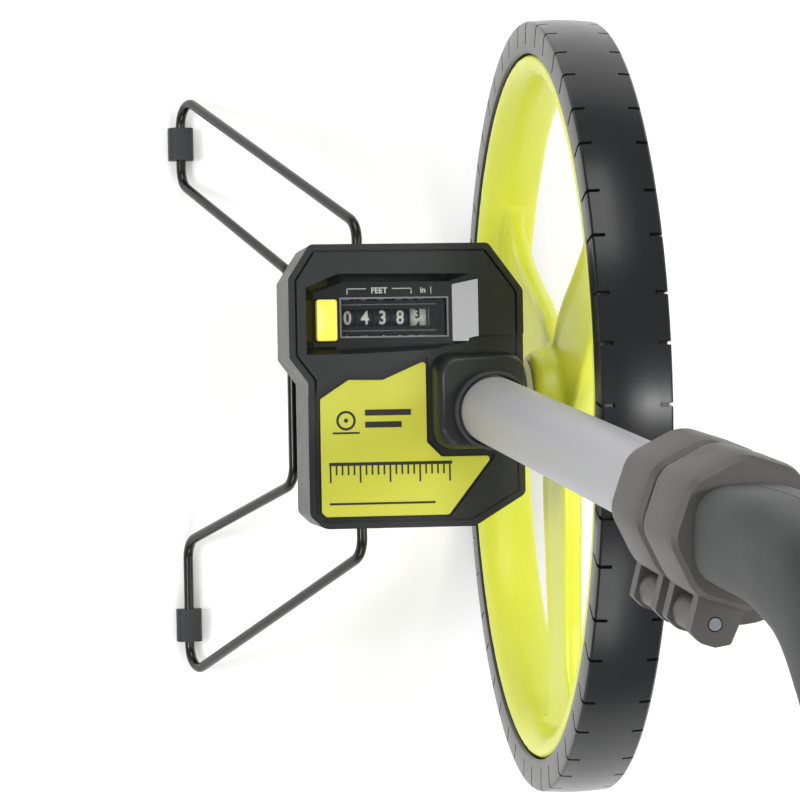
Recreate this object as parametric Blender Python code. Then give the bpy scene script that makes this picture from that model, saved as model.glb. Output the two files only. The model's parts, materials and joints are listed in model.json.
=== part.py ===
"""Measuring wheel: a one-wheel distance counter with a fold-out stand and a telescopic handle.

Frame: the origin is the point where the tyre meets the ground, +X is forward, +Y points from the
wheel to the counter housing, and +Z is up. Lengths below are in millimetres; to_object scales them
to metres.
"""
from math import acos, atan2, cos, pi, radians, sin, tan

import bmesh
import bpy
from mathutils import Matrix, Vector

MM = 0.001
GAP = 0.3                      # clearance between neighbouring solids

# wheel
TYRE_RADIUS = 145.5            # one turn is about three feet
TYRE_HALF_WIDTH = 12.35
RIM_RADIUS = 132.8
RIM_THROAT = 122.8             # narrowest inner radius of the dished rim
WHEEL_SIDES = 72
HUB_RADIUS = 21.0
HUB_RIGHT, HUB_LEFT = -13.0, 11.5
SPOKE_COUNT = 3
SPOKE_RIGHT, SPOKE_LEFT = -5.5, 2.5
AXLE_Z = TYRE_RADIUS
AXLE_RADIUS = 5.0
AXLE_Y = (-22.0, 55.0)
BUSH_RADIUS = 7.9
HUB_BORE = 8.2
GEAR_SCREW_CIRCLE = 14.5
SCREW_HOLE = 1.8
TYRE_CHAMFER = 1.6
BLADE = [(17.0, 20.0), (42.0, 22.0), (84.0, 17.5), (112.0, 20.0), (125.5, 25.0)]   # reach, half width

# counter housing
TOP_Z = 180.5
TOP_PLATE_Z = 174.5
LABEL_Z = 177.7
POCKET_Z = 176.5
PARTING_Z = 134.0
BOTTOM_Z = 117.0
WALL = 2.5
HOUSING = [(60.4, 97.0), (60.4, 31.2), (43.1, 18.5), (-32.0, 18.5), (-43.5, 37.5), (-43.5, 93.0),
           (-38.5, 98.3), (10.0, 98.3), (19.0, 105.0), (48.0, 105.0)]
LABEL_ZONE = [(4.5, 94.8), (11.8, 83.6), (11.6, 71.0), (19.0, 53.8), (-12.0, 53.8), (-16.8, 49.0),
              (-16.8, 28.5), (-40.0, 46.5), (-40.0, 92.6), (-37.8, 94.8)]
POCKET = [(48.8, 85.5), (48.8, 38.0), (46.8, 35.2), (23.6, 35.2), (24.6, 46.0), (21.5, 86.0),
          (21.5, 96.5), (43.8, 96.5)]
WINDOW = (26.8, 40.4, 46.4, 85.4)
BUTTON = (25.1, 40.3, 87.2, 94.7)
BOSSES = [(51.0, 88.5), (51.0, 38.5), (-32.5, 88.5), (-32.5, 42.0)]
BOSS_HOLE = 1.9
HOUSING_EDGE = 1.6
NECK_HOLE = 12.5               # the drive gear's sleeve passes here
TUBE_HOLE = 15.0
STAND_HOLE = 4.3

# gear train and counter
MODULE = 1.0
DRIVE_TEETH, IDLER_TEETH, PINION_TEETH = 30, 18, 10
TRAIN_ANGLE = radians(28.5)    # direction from the axle to the counter shaft
GEAR_Y = (22.6, 28.4)
PRESSURE_ANGLE = radians(25.0)
DRUM_RADIUS = 9.2
DRUM_PITCH = 6.5
DRUM_WIDTH = 6.2
INCH_DRUM_Y = 56.6
SHAFT_RADIUS = 2.0
BACKLASH = 0.26
DRUM_SIDES = 30
FRAME_Z = (149.5, 172.5)
SPRING_RADIUS, SPRING_WIRE = 2.4, 0.3
SPRING_Z = (160.4, 169.4)

# handle
SOCKET = (0.0, 33.0, 184.0)
LEAN_BACK, LEAN_SIDE = 0.117, 0.070
LOWER_TUBE = (12.3, 11.1, -14.0, 262.0)   # outer radius, inner radius, bottom, top
MIDDLE_TUBE = (10.7, 9.6, 30.0, 294.0)
UPPER_TUBE = (9.2, 8.0, 36.0, 366.0)
LOWER_CLAMP_Z = 236.0
UPPER_CLAMP_Z = 268.4
CLAMP_HEIGHT = 32.0
CLAMP_RADIUS = 19.5
CLAMP_TURN = radians(-18.0)     # the levers sit a little to the left of straight behind
LEVER_X = -26.0
LEVER_ARM = (22.2, 26.4)       # inner and outer radius of the lever's arm
PIN_RADIUS, PIN_HOLE = 1.8, 2.1
GRIP_LINE = [((0, 303), 14), ((0, 345), 15), ((-9, 378), 17), ((-40, 404), 16), ((-88, 418), 15),
             ((-106, 421), 18)]
GRIP_HALF_WIDTH = 16.0
GRIP_WALL = 2.6
GRIP_SCREWS = [(-12, 385), (-46, 405), (-90, 418)]

# stand
STAND_Y = 75.4
STAND_WIRE = 2.0
FOOT_Y, FOOT_Z = 132.6, 4.5
STAND_BEND = 9.0
STAND_ROUTE = [(52.0, 0), (70.0, 0), (133.8, 1), (96.5, 1), (54.1, 0.357), (-28.5, 0.357),
               (-54.5, 1), (-110.8, 1), (-54.7, 0), (-35.0, 0)]
PAD_X = (113.2, -89.6)
PAD_SIZE = (13.5, 10.5, 8.6)

TRAIN = (cos(TRAIN_ANGLE), sin(TRAIN_ANGLE))
IDLER_REACH = MODULE * (DRIVE_TEETH + IDLER_TEETH) / 2
COUNTER_REACH = IDLER_REACH + MODULE * (IDLER_TEETH + PINION_TEETH) / 2
IDLER = (TRAIN[0] * IDLER_REACH, AXLE_Z + TRAIN[1] * IDLER_REACH)
COUNTER = (TRAIN[0] * COUNTER_REACH, AXLE_Z + TRAIN[1] * COUNTER_REACH)

LIME = ("lime_plastic", (0.72, 0.79, 0.05), 0.35, 0.0)
RUBBER = ("tyre_rubber", (0.035, 0.035, 0.037), 0.6, 0.0)
BLACK = ("black_plastic", (0.03, 0.032, 0.035), 0.4, 0.0)
GREY = ("grey_plastic", (0.15, 0.14, 0.135), 0.5, 0.0)
SILVER = ("anodised_tube", (0.38, 0.38, 0.39), 0.35, 0.9)
STEEL = ("steel", (0.5, 0.5, 0.5), 0.3, 1.0)
BRASS = ("brass", (0.6, 0.42, 0.15), 0.35, 1.0)
CAST = ("cast_aluminium", (0.4, 0.4, 0.4), 0.5, 1.0)
YELLOW = ("yellow_plastic", (0.93, 0.88, 0.2), 0.35, 0.0)
LABEL = ("label_lime", (0.56, 0.57, 0.07), 0.4, 0.0)
CLEAR = ("clear_plastic", (0.8, 0.85, 0.9), 0.1, 0.0)
WHITE = ("white_plastic", (0.8, 0.8, 0.8), 0.4, 0.0)
WIRE = ("black_wire", (0.01, 0.01, 0.01), 0.25, 0.0)
NYLON = ("nylon", (0.6, 0.58, 0.5), 0.5, 0.0)


def clear_scene():
    for item in list(bpy.data.objects):
        bpy.data.objects.remove(item, do_unlink=True)


def finish_material(finish):
    name, colour, roughness, metallic = finish
    made = bpy.data.materials.get(name)
    if made is None:
        made = bpy.data.materials.new(name)
        made.use_nodes = True
        shader = made.node_tree.nodes["Principled BSDF"]
        shader.inputs["Base Color"].default_value = (*colour, 1.0)
        shader.inputs["Roughness"].default_value = roughness
        shader.inputs["Metallic"].default_value = metallic
    return made


def to_object(name, bm, finish=None, origin=(0, 0, 0), parent=None, smooth=True):
    """Turn a mesh in millimetres into an object whose origin is the given point."""
    bmesh.ops.recalc_face_normals(bm, faces=bm.faces)
    bmesh.ops.translate(bm, verts=bm.verts, vec=-Vector(origin))
    bmesh.ops.scale(bm, verts=bm.verts, vec=(MM, MM, MM))
    mesh = bpy.data.meshes.new(name)
    bm.to_mesh(mesh)
    bm.free()
    if smooth:
        mesh.shade_smooth()
        mesh.set_sharp_from_angle(angle=radians(35))
    made = bpy.data.objects.new(name, mesh)
    made.location = Vector(origin) * MM
    made.parent = parent
    bpy.context.collection.objects.link(made)
    if finish is None:
        made.hide_render = True
        made.display_type = "WIRE"
    else:
        mesh.materials.append(finish_material(finish))
    return made


def combine(target, operation, tool_bm, parent=None):
    """Cut a tool mesh from the target, or join it to the target."""
    tool = to_object(target.name + "_tool", tool_bm, parent=parent, smooth=False)
    step = target.modifiers.new(tool.name, "BOOLEAN")
    step.operation = operation
    step.solver = "EXACT"
    step.object = tool


def cut(target, tool_bm, parent=None):
    combine(target, "DIFFERENCE", tool_bm, parent)


def join(target, tool_bm, parent=None):
    combine(target, "UNION", tool_bm, parent)


def on_axis(axis, u, v, along):
    """A point from two in-plane values and one along the axis X, Y or Z."""
    if axis == "X":
        return (along, u, v)
    if axis == "Y":
        return (u, along, v)
    return (u, v, along)


def loft(low_outline, high_outline, low, high, axis="Z"):
    """A solid between two outlines of the same number of points."""
    bm = bmesh.new()
    bottom = [bm.verts.new(on_axis(axis, u, v, low)) for u, v in low_outline]
    top = [bm.verts.new(on_axis(axis, u, v, high)) for u, v in high_outline]
    bm.faces.new(bottom)
    bm.faces.new(top)
    count = len(bottom)
    for i in range(count):
        j = (i + 1) % count
        bm.faces.new((bottom[i], bottom[j], top[j], top[i]))
    return bm


def prism(outline, low, high, axis="Z"):
    return loft(outline, outline, low, high, axis)


def block(x, y, z):
    outline = [(x[0], y[0]), (x[1], y[0]), (x[1], y[1]), (x[0], y[1])]
    return prism(outline, z[0], z[1])


def circle(radius, sides, centre=(0, 0), phase=0.0):
    steps = [phase + 2 * pi * i / sides for i in range(sides)]
    return [(centre[0] + radius * cos(a), centre[1] + radius * sin(a)) for a in steps]


def rod(radius, low, high, axis="Z", centre=(0, 0), sides=20):
    return prism(circle(radius, sides, centre), low, high, axis)


def ring(profile, sides, axis="Z", centre=(0, 0), phase=0.0):
    """Turn a closed profile of (radius, height) points round an axis."""
    bm = bmesh.new()
    rows = []
    for i in range(sides):
        angle = phase + 2 * pi * i / sides
        row = []
        for radius, along in profile:
            u = centre[0] + radius * cos(angle)
            v = centre[1] + radius * sin(angle)
            row.append(bm.verts.new(on_axis(axis, u, v, along)))
        rows.append(row)
    count = len(profile)
    for i in range(sides):
        here, after = rows[i], rows[(i + 1) % sides]
        for j in range(count):
            k = (j + 1) % count
            bm.faces.new((here[j], after[j], after[k], here[k]))
    return bm


def sleeve(outer, inner, low, high, axis="Z", centre=(0, 0), sides=24):
    return ring([(outer, low), (outer, high), (inner, high), (inner, low)], sides, axis, centre)


def inset(outline, distance):
    """Move every edge of a closed outline inwards by a distance."""
    points = [Vector(p) for p in outline]
    count = len(points)
    area = sum(points[i - 1].cross(points[i]) for i in range(count))
    side = 1.0 if area > 0 else -1.0
    moved = []
    for i in range(count):
        before = (points[i] - points[i - 1]).normalized()
        after = (points[(i + 1) % count] - points[i]).normalized()
        normal_before = Vector((-before.y, before.x)) * side
        normal_after = Vector((-after.y, after.x)) * side
        bisector = (normal_before + normal_after).normalized()
        moved.append(points[i] + bisector * (distance / bisector.dot(normal_after)))
    return [(p.x, p.y) for p in moved]


def rounded(points, radius, steps=4, closed=True):
    """Replace each corner of a polyline by an arc of a radius."""
    vectors = [Vector(p) for p in points]
    count = len(vectors)
    result = []
    for i, corner in enumerate(vectors):
        if not closed and i in (0, count - 1):
            result.append(tuple(corner))
            continue
        back = (vectors[i - 1] - corner).normalized()
        ahead = (vectors[(i + 1) % count] - corner).normalized()
        half = back.angle(ahead) / 2
        reach = radius / tan(half)
        centre = corner + (back + ahead).normalized() * (radius / sin(half))
        start = corner + back * reach - centre
        end = corner + ahead * reach - centre
        for k in range(steps + 1):
            if len(start) == 3:
                offset = start.slerp(end, k / steps) * radius
            else:
                offset = swing(start, end, k / steps)
            result.append(tuple(centre + offset))
    return result


def swing(start, end, share):
    angle = atan2(start.cross(end), start.dot(end)) * share
    return Vector((start.x * cos(angle) - start.y * sin(angle),
                   start.x * sin(angle) + start.y * cos(angle)))


def wire(points, radius, sides=8):
    """Sweep a circle along a polyline, with flat ends."""
    bm = bmesh.new()
    path = [Vector(p) for p in points]
    count = len(path)
    normal = None
    rows = []
    for i, point in enumerate(path):
        ahead = (path[min(i + 1, count - 1)] - path[max(i - 1, 0)]).normalized()
        if normal is None:
            normal = ahead.orthogonal().normalized()
        normal = (normal - ahead * normal.dot(ahead)).normalized()
        other = ahead.cross(normal)
        angles = [2 * pi * k / sides for k in range(sides)]
        rows.append([bm.verts.new(point + (normal * cos(a) + other * sin(a)) * radius) for a in angles])
    for here, after in zip(rows, rows[1:]):
        for k in range(sides):
            m = (k + 1) % sides
            bm.faces.new((here[k], here[m], after[m], after[k]))
    bm.faces.new(rows[0])
    bm.faces.new(rows[-1])
    return bm


def gear_outline(teeth, centre, tooth_angle):
    """A spur gear with involute flanks and one tooth centred on tooth_angle."""
    pitch = MODULE * teeth / 2
    base = pitch * cos(PRESSURE_ANGLE)
    tip = pitch + 0.7 * MODULE
    root = pitch - 0.98 * MODULE
    half_at_pitch = pi / (2 * teeth) - BACKLASH / (2 * pitch)
    roll = tan(PRESSURE_ANGLE) - PRESSURE_ANGLE
    start = max(base, root)
    flank = []
    for k in range(3):
        radius = start + (tip - start) * k / 2
        pressure = acos(min(1.0, base / radius))
        flank.append((radius, half_at_pitch + roll - (tan(pressure) - pressure)))
    if root < base:
        flank.insert(0, (root, flank[0][1]))
    outline = []
    for i in range(teeth):
        middle = tooth_angle + 2 * pi * i / teeth
        for radius, half in flank:
            outline.append((radius, middle - half))
        for radius, half in reversed(flank):
            outline.append((radius, middle + half))
    return [(centre[0] + r * cos(a), centre[1] + r * sin(a)) for r, a in outline]


def make_tyre():
    radius = TYRE_RADIUS / cos(pi / WHEEL_SIDES)
    edge = radius - TYRE_CHAMFER
    inner = RIM_RADIUS + GAP
    half = TYRE_HALF_WIDTH
    flat = half - TYRE_CHAMFER
    profile = [(inner, -half), (edge, -half), (radius, -flat), (radius, flat), (edge, half), (inner, half)]
    bm = ring(profile, WHEEL_SIDES, "Y", (0, AXLE_Z), pi / WHEEL_SIDES)
    to_object("tyre", bm, RUBBER, (0, 0, AXLE_Z))


def make_rim():
    outer = RIM_RADIUS
    half = TYRE_HALF_WIDTH - 0.35
    dish = [(RIM_THROAT + 6.2, half), (RIM_THROAT + 2.2, half * 0.62), (RIM_THROAT, 0.0),
            (RIM_THROAT + 2.2, -half * 0.62), (RIM_THROAT + 6.2, -half)]
    profile = [(outer, -half), (outer, half), *dish]
    bm = ring(profile, WHEEL_SIDES, "Y", (0, AXLE_Z), pi / WHEEL_SIDES)
    rim = to_object("wheel_rim", bm, LIME, (0, 0, AXLE_Z))
    join(rim, sleeve(HUB_RADIUS, HUB_BORE, HUB_RIGHT, HUB_LEFT, "Y", (0, AXLE_Z), 36))
    blade = [(reach, -width) for reach, width in BLADE] + [(reach, width) for reach, width in reversed(BLADE)]
    for i in range(SPOKE_COUNT):
        turn = Matrix.Rotation(pi + 2 * pi * i / SPOKE_COUNT, 2)
        outline = [turn @ Vector(p) + Vector((0, AXLE_Z)) for p in blade]
        join(rim, prism(outline, SPOKE_RIGHT, SPOKE_LEFT, "Y"))
    cut(rim, rod(HUB_BORE, HUB_RIGHT - 5, HUB_LEFT + 5, "Y", (0, AXLE_Z), 36))
    for place in gear_screw_places():
        cut(rim, rod(SCREW_HOLE, HUB_LEFT - 9, HUB_LEFT + 2, "Y", place, 10))


def gear_screw_places():
    return circle(GEAR_SCREW_CIRCLE, SPOKE_COUNT, (0, AXLE_Z), radians(30))


def make_hub_parts():
    centre = (0, AXLE_Z)
    pivot = (0, 0, AXLE_Z)
    bore = AXLE_RADIUS + GAP
    to_object("hub_bush_left", sleeve(BUSH_RADIUS, bore, 2.0, HUB_LEFT, "Y", centre), NYLON, pivot)
    flanged = [(bore, -14.4), (10.5, -14.4), (10.5, HUB_RIGHT - GAP), (BUSH_RADIUS, HUB_RIGHT - GAP),
               (BUSH_RADIUS, -3.0), (bore, -3.0)]
    to_object("hub_bush_right", ring(flanged, 24, "Y", centre), NYLON, pivot)
    gear = prism(gear_outline(DRIVE_TEETH, centre, TRAIN_ANGLE), *GEAR_Y, "Y")
    drive = to_object("drive_gear", gear, NYLON, pivot, smooth=False)
    flange_y = HUB_LEFT + GAP
    join(drive, rod(10.5, flange_y + 1, GEAR_Y[0] + 1, "Y", centre, 24))
    join(drive, rod(17.5, flange_y, flange_y + 2.2, "Y", centre, 24))
    cut(drive, rod(bore, flange_y - 5, GEAR_Y[1] + 5, "Y", centre, 24))
    for i, place in enumerate(gear_screw_places()):
        cut(drive, rod(SCREW_HOLE, flange_y - 2, flange_y + 4, "Y", place, 10))
        head, tip = flange_y + 2.5, flange_y - 7
        screw = [(0, tip), (1.5, tip), (1.5, head), (3.0, head), (3.0, head + 1.1), (0, head + 1.1)]
        to_object(f"gear_screw_{i + 1}", turned(screw, 10, "Y", place), STEEL, pivot)
    cap = [(HUB_RADIUS - 3, -13.3), (HUB_RADIUS - 3, -17), (15, -25.5), (10, -26.5), (0, -26.5),
           (0, -25), (9.5, -25), (13.4, -24.2), (16.2, -16.5), (16.2, -13.3)]
    to_object("hub_cap", turned(cap, 32, "Y", centre), BLACK, pivot)


def turned(profile, sides, axis="Z", centre=(0, 0)):
    """Turn a closed profile that meets the axis at its first or last points."""
    bm = ring([(max(r, 0.0), a) for r, a in profile], sides, axis, centre)
    bmesh.ops.remove_doubles(bm, verts=bm.verts, dist=0.01)
    thin = [face for face in bm.faces if face.calc_area() < 1e-9]
    bmesh.ops.delete(bm, geom=thin, context="FACES")
    return bm


def make_axle():
    centre = (0, AXLE_Z)
    to_object("axle", rod(AXLE_RADIUS, *AXLE_Y, "Y", centre, 24), STEEL)
    bore = AXLE_RADIUS + GAP
    to_object("axle_washer", sleeve(9.0, bore, -15.8, -14.7, "Y", centre), STEEL)
    nut = to_object("axle_nut", prism(circle(9.0, 6, centre), -21.0, -16.1, "Y"), STEEL, smooth=False)
    cut(nut, rod(bore, -30, -10, "Y", centre, 24))


def make_carrier(handle):
    """The cast carrier holds the axle, the counter shaft and the foot of the handle."""
    plate = [(0, AXLE_Z, 13.5), (*COUNTER, 6.0)]
    outline = []
    side = atan2(TRAIN[1], TRAIN[0])
    for (x, z, radius), start in ((plate[0], side + pi / 2), (plate[1], side - pi / 2)):
        for k in range(9):
            angle = start + pi * k / 8
            outline.append((x + radius * cos(angle), z + radius * sin(angle)))
    carrier = to_object("axle_carrier", prism(outline, 30.6, 34.4, "Y"), CAST)
    join(carrier, rod(11.0, 33.0, 56.0, "Y", (0, AXLE_Z), 24))
    join(carrier, block((-9, 11), (40, 55), (135, 146)))
    join(carrier, block((-5, 7), (31.2, 41.0), (150, 175)))
    join(carrier, rod(10.7, -12.0, 26.0, sides=24), parent=handle)
    cut(carrier, rod(AXLE_RADIUS + GAP, 20, 70, "Y", (0, AXLE_Z), 24))
    cut(carrier, rod(SHAFT_RADIUS + GAP, 20, 70, "Y", COUNTER, 16))
    cut(carrier, rod(SHAFT_RADIUS + GAP, 20, 70, "Y", IDLER, 16))
    cut(carrier, rod(2.8, 120, 143.0, "Z", (0, 48), 12))
    cut(carrier, rod(2.2, -20, 20, "Y", (0, 2), 12), parent=handle)
    to_object("axle_set_screw", rod(2.5, 133.0, 140.0, "Z", (0, 48), 12), STEEL)
    to_object("tube_pin", rod(1.9, -12.1, 12.1, "Y", (0, 2), 12), STEEL, parent=handle)


def make_housing(handle):
    shell = to_object("front_housing", prism(HOUSING, PARTING_Z, TOP_Z), BLACK, smooth=False)
    edge = shell.modifiers.new("edge", "BEVEL")
    edge.width = HOUSING_EDGE * MM
    edge.segments = 2
    edge.limit_method = "ANGLE"
    edge.angle_limit = radians(60)
    cut(shell, prism(inset(HOUSING, WALL), PARTING_Z - 5, TOP_PLATE_Z))
    cut(shell, prism(LABEL_ZONE, LABEL_Z, TOP_Z + 5))
    cut(shell, loft(inset(POCKET, 1.6), inset(POCKET, -1.0), POCKET_Z, TOP_Z + 1))
    cut(shell, block(WINDOW[:2], WINDOW[2:], (TOP_PLATE_Z - 3, TOP_Z + 5)))
    low, high, right, left = BUTTON
    hole = block((low - 0.4, high + 0.4), (right - 0.4, left + 0.4), (TOP_PLATE_Z - 3, TOP_Z + 5))
    cut(shell, hole)
    cut(shell, rod(TUBE_HOLE, -60, 60, sides=28), parent=handle)
    cut(shell, rod(NECK_HOLE, 10, 25, "Y", (0, AXLE_Z), 28))
    cut(shell, rod(STAND_HOLE, 35, 90, "X", (STAND_Y, AXLE_Z), 16))
    cut(shell, rod(STAND_HOLE, -70, -30, "X", (STAND_Y, AXLE_Z), 16))
    for place in BOSSES:
        join(shell, rod(4.2, PARTING_Z, TOP_PLATE_Z + 1, "Z", place, 14))
    for place in BOSSES:
        cut(shell, rod(BOSS_HOLE, PARTING_Z - 5, 150, "Z", place, 10))


def make_rear_cover():
    top = PARTING_Z - GAP
    body = loft(inset(HOUSING, 3.5), inset(HOUSING, 0.4), BOTTOM_Z, top)
    cover = to_object("rear_cover", body, BLACK, smooth=False)
    cut(cover, loft(inset(HOUSING, 6.0), inset(HOUSING, 3.0), BOTTOM_Z + WALL, top + 0.5))
    for place in BOSSES:
        join(cover, rod(4.6, BOTTOM_Z + 1, top, "Z", place, 14))
    for i, place in enumerate(BOSSES):
        cut(cover, rod(BOSS_HOLE, BOTTOM_Z - 5, top + 5, "Z", place, 10))
        cut(cover, rod(3.6, BOTTOM_Z - 5, BOTTOM_Z + 2.2, "Z", place, 14))
        screw = [(0, BOTTOM_Z + 0.3), (3.2, BOTTOM_Z + 0.3), (3.2, BOTTOM_Z + 1.9), (1.6, BOTTOM_Z + 1.9),
                 (1.6, 147), (0, 147)]
        to_object(f"cover_screw_{i + 1}", turned(screw, 12, "Z", place), STEEL)


def make_housing_trim(handle):
    plate = prism(inset(LABEL_ZONE, 0.8), LABEL_Z + GAP, LABEL_Z + 1.1)
    to_object("label_plate", plate, LABEL, smooth=False)
    x, y = WINDOW[:2], WINDOW[2:]
    lens = block((x[0] + GAP, x[1] - GAP), (y[0] + GAP, y[1] - GAP), (POCKET_Z - 1.7, POCKET_Z - 0.4))
    to_object("window_lens", lens, CLEAR, smooth=False)
    base = rounded([(20.3, 19.2), (20.3, 53.0), (-15.4, 53.0), (-15.4, 19.2)], 6.5, 3)
    crown = [(0.8 + (x - 2.4) * 0.86, 32.6 + (y - 36.0) * 0.86) for x, y in base]
    collar = to_object("socket_collar", loft(base, crown, TOP_Z + GAP, 190.0), BLACK, smooth=False)
    cut(collar, rod(12.9, -60, 60, sides=32), parent=handle)
    seal = [(14.6, 8.8), (14.6, 10.6), (13.6, 12.2), (12.7, 12.2), (12.7, 8.8)]
    to_object("tube_seal", ring(seal, 32), RUBBER, parent=handle)


def make_counter():
    cx, cz = COUNTER
    pivot = (cx, 0, cz)
    drum_low = INCH_DRUM_Y - DRUM_WIDTH / 2
    left = drum_low + 4 * DRUM_PITCH + DRUM_WIDTH
    low, high = FRAME_Z
    frame_outline = [(44.0, low), (left + 1.2, low), (left + 1.2, high), (left + 0.4, high),
                     (left + 0.4, low + 1.5), (45.5, low + 1.5), (45.5, high), (44.0, high)]
    frame = to_object("counter_frame", prism(frame_outline, cx - 10.5, cx + 10.5, "X"), STEEL, smooth=False)
    cut(frame, rod(SHAFT_RADIUS + GAP, 30, 110, "Y", COUNTER, 16))
    shaft = rod(SHAFT_RADIUS, GEAR_Y[0] - 0.6, left + 1.2, "Y", COUNTER, 16)
    to_object("counter_shaft", shaft, STEEL, pivot)
    pinion = prism(gear_outline(PINION_TEETH, COUNTER, TRAIN_ANGLE + pi), *GEAR_Y, "Y")
    made = to_object("counter_pinion", pinion, BRASS, pivot, smooth=False)
    cut(made, rod(SHAFT_RADIUS + GAP, 0, 50, "Y", COUNTER, 16))
    for i in range(5):
        name = "inch_drum" if i == 0 else f"feet_drum_{i}"
        low = drum_low + i * DRUM_PITCH
        drum = sleeve(DRUM_RADIUS, SHAFT_RADIUS + GAP, low, low + DRUM_WIDTH, "Y", COUNTER, DRUM_SIDES)
        to_object(name, drum, WHITE if i == 0 else BLACK, pivot)
    idler_pivot = (IDLER[0], 0, IDLER[1])
    gap_angle = TRAIN_ANGLE + pi + pi / IDLER_TEETH
    idler = prism(gear_outline(IDLER_TEETH, IDLER, gap_angle), *GEAR_Y, "Y")
    made = to_object("idler_gear", idler, NYLON, idler_pivot, smooth=False)
    cut(made, rod(SHAFT_RADIUS + GAP, 0, 50, "Y", IDLER, 16))
    to_object("idler_pin", rod(SHAFT_RADIUS, GEAR_Y[0] - 0.6, 34.4, "Y", IDLER, 16), STEEL)


def make_button():
    low, high, right, left = BUTTON
    cap = block((low, high), (right, left), (170.0, TOP_Z + 0.6))
    button = to_object("reset_button", cap, YELLOW, smooth=False)
    edge = button.modifiers.new("edge", "BEVEL")
    edge.width = 0.8 * MM
    edge.segments = 2
    middle = ((low + high) / 2, (right + left) / 2)
    join(button, rod(1.4, 164.0, 171.0, "Z", middle, 10))
    turns, steps = 5, 10
    coil = []
    for i in range(turns * steps + 1):
        angle = 2 * pi * i / steps
        height = SPRING_Z[0] + (SPRING_Z[1] - SPRING_Z[0]) * i / (turns * steps)
        x = middle[0] + SPRING_RADIUS * cos(angle)
        y = middle[1] + SPRING_RADIUS * sin(angle)
        coil.append((x, y, height))
    to_object("button_spring", wire(coil, SPRING_WIRE, 5), STEEL)
    shelf = block((low - 1, high + 1), (right - 0.2, left + 0.4), (156.5, 159.8))
    seat = to_object("spring_seat", shelf, BLACK, smooth=False)
    cut(seat, rod(1.8, 150, 170, "Z", middle, 10))


def make_stand():
    pivot = (0, STAND_Y, AXLE_Z)
    reach = Vector((0, FOOT_Y - STAND_Y, FOOT_Z - AXLE_Z))
    corners = [Vector((x, STAND_Y, AXLE_Z)) + reach * share for x, share in STAND_ROUTE]
    route = rounded([tuple(c) for c in corners], STAND_BEND, 5, closed=False)
    to_object("kickstand_wire", wire(route, STAND_WIRE), WIRE, pivot)
    for name, x in zip(("stand_pad_front", "stand_pad_rear"), PAD_X):
        half = PAD_SIZE[0] / 2
        side = PAD_SIZE[1] / 2
        box = block((x - half, x + half), (FOOT_Y - side, FOOT_Y + side), (0.0, PAD_SIZE[2]))
        pad = to_object(name, box, RUBBER, pivot, smooth=False)
        cut(pad, rod(STAND_WIRE + GAP, x - 20, x + 20, "X", (FOOT_Y, FOOT_Z), 12))
    centre = (STAND_Y, AXLE_Z)
    to_object("stand_bush_front", sleeve(4.0, 2.4, 57.6, 61.6, "X", centre, 16), NYLON)
    to_object("stand_bush_rear", sleeve(4.0, 2.4, -44.7, -40.7, "X", centre, 16), NYLON)


def make_tube(name, dims, handle):
    outer, inner, low, high = dims
    return to_object(name, sleeve(outer, inner, low, high, sides=32), SILVER, parent=handle)


def aside(points):
    """Turn points of a clamp's outline about the tube."""
    spin = Matrix.Rotation(CLAMP_TURN, 2)
    return [tuple(spin @ Vector(p)) for p in points]


def make_clamp(prefix, low, tube_radius, inner_radius, tube_top, handle):
    """A split collar with a cam lever that squeezes it on the inner tube."""
    outer = circle(CLAMP_RADIUS, 8, (0, 0), pi / 8)
    collar = to_object(prefix + "_clamp", prism(outer, low, low + CLAMP_HEIGHT - 0.4), GREY, parent=handle,
                       smooth=False)
    lug = [(-14, -7), (LEVER_X - 4, -6), (LEVER_X - 6, -2), (LEVER_X - 6, 2), (LEVER_X - 4, 6), (-14, 7)]
    join(collar, prism(aside(lug), low + 3, low + 7.5), parent=handle)
    join(collar, prism(aside(lug), low + 24.5, low + 29), parent=handle)
    cut(collar, rod(tube_radius + GAP, low - 5, tube_top + GAP, sides=32), parent=handle)
    cut(collar, rod(inner_radius + 0.4, low - 5, low + 50, sides=32), parent=handle)
    pin = aside([(LEVER_X, 0)])[0]
    cut(collar, rod(PIN_HOLE, low - 5, low + 50, "Z", pin, 12), parent=handle)
    to_object(prefix + "_lever_pin", rod(PIN_RADIUS, low + 3, low + 29, "Z", pin, 12), STEEL, parent=handle)
    arc = [radians(188 + 9.5 * k) for k in range(9)]
    inner, reach = LEVER_ARM
    arm = [(reach * cos(a), reach * sin(a)) for a in arc]
    arm += [(inner * cos(a), inner * sin(a)) for a in reversed(arc)]
    knuckle = prism(circle(5.6, 16, pin), low + 8, low + 24)
    lever = to_object(prefix + "_lever", knuckle, GREY, (*pin, 0), parent=handle, smooth=False)
    join(lever, prism(aside(arm), low + 8.6, low + 23.4), parent=handle)
    cut(lever, rod(PIN_HOLE, low - 5, low + 50, "Z", pin, 12), parent=handle)


def make_handle_empty():
    lean = Vector((-LEAN_BACK, -LEAN_SIDE, 1.0)).normalized()
    turn = Vector((0, 0, 1)).rotation_difference(lean)
    handle = bpy.data.objects.new("handle_axis", None)
    handle.rotation_mode = "QUATERNION"
    handle.rotation_quaternion = turn
    handle.location = Vector(SOCKET) * MM
    bpy.context.collection.objects.link(handle)
    return handle


def make_telescope(handle):
    lower = make_tube("lower_tube", LOWER_TUBE, handle)
    cut(lower, rod(2.2, -20, 20, "Y", (0, 2), 12), parent=handle)
    make_tube("middle_tube", MIDDLE_TUBE, handle)
    make_tube("upper_tube", UPPER_TUBE, handle)
    make_clamp("lower", LOWER_CLAMP_Z, LOWER_TUBE[0], MIDDLE_TUBE[0], LOWER_TUBE[3], handle)
    make_clamp("upper", UPPER_CLAMP_Z, MIDDLE_TUBE[0], UPPER_TUBE[0], MIDDLE_TUBE[3], handle)


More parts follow.
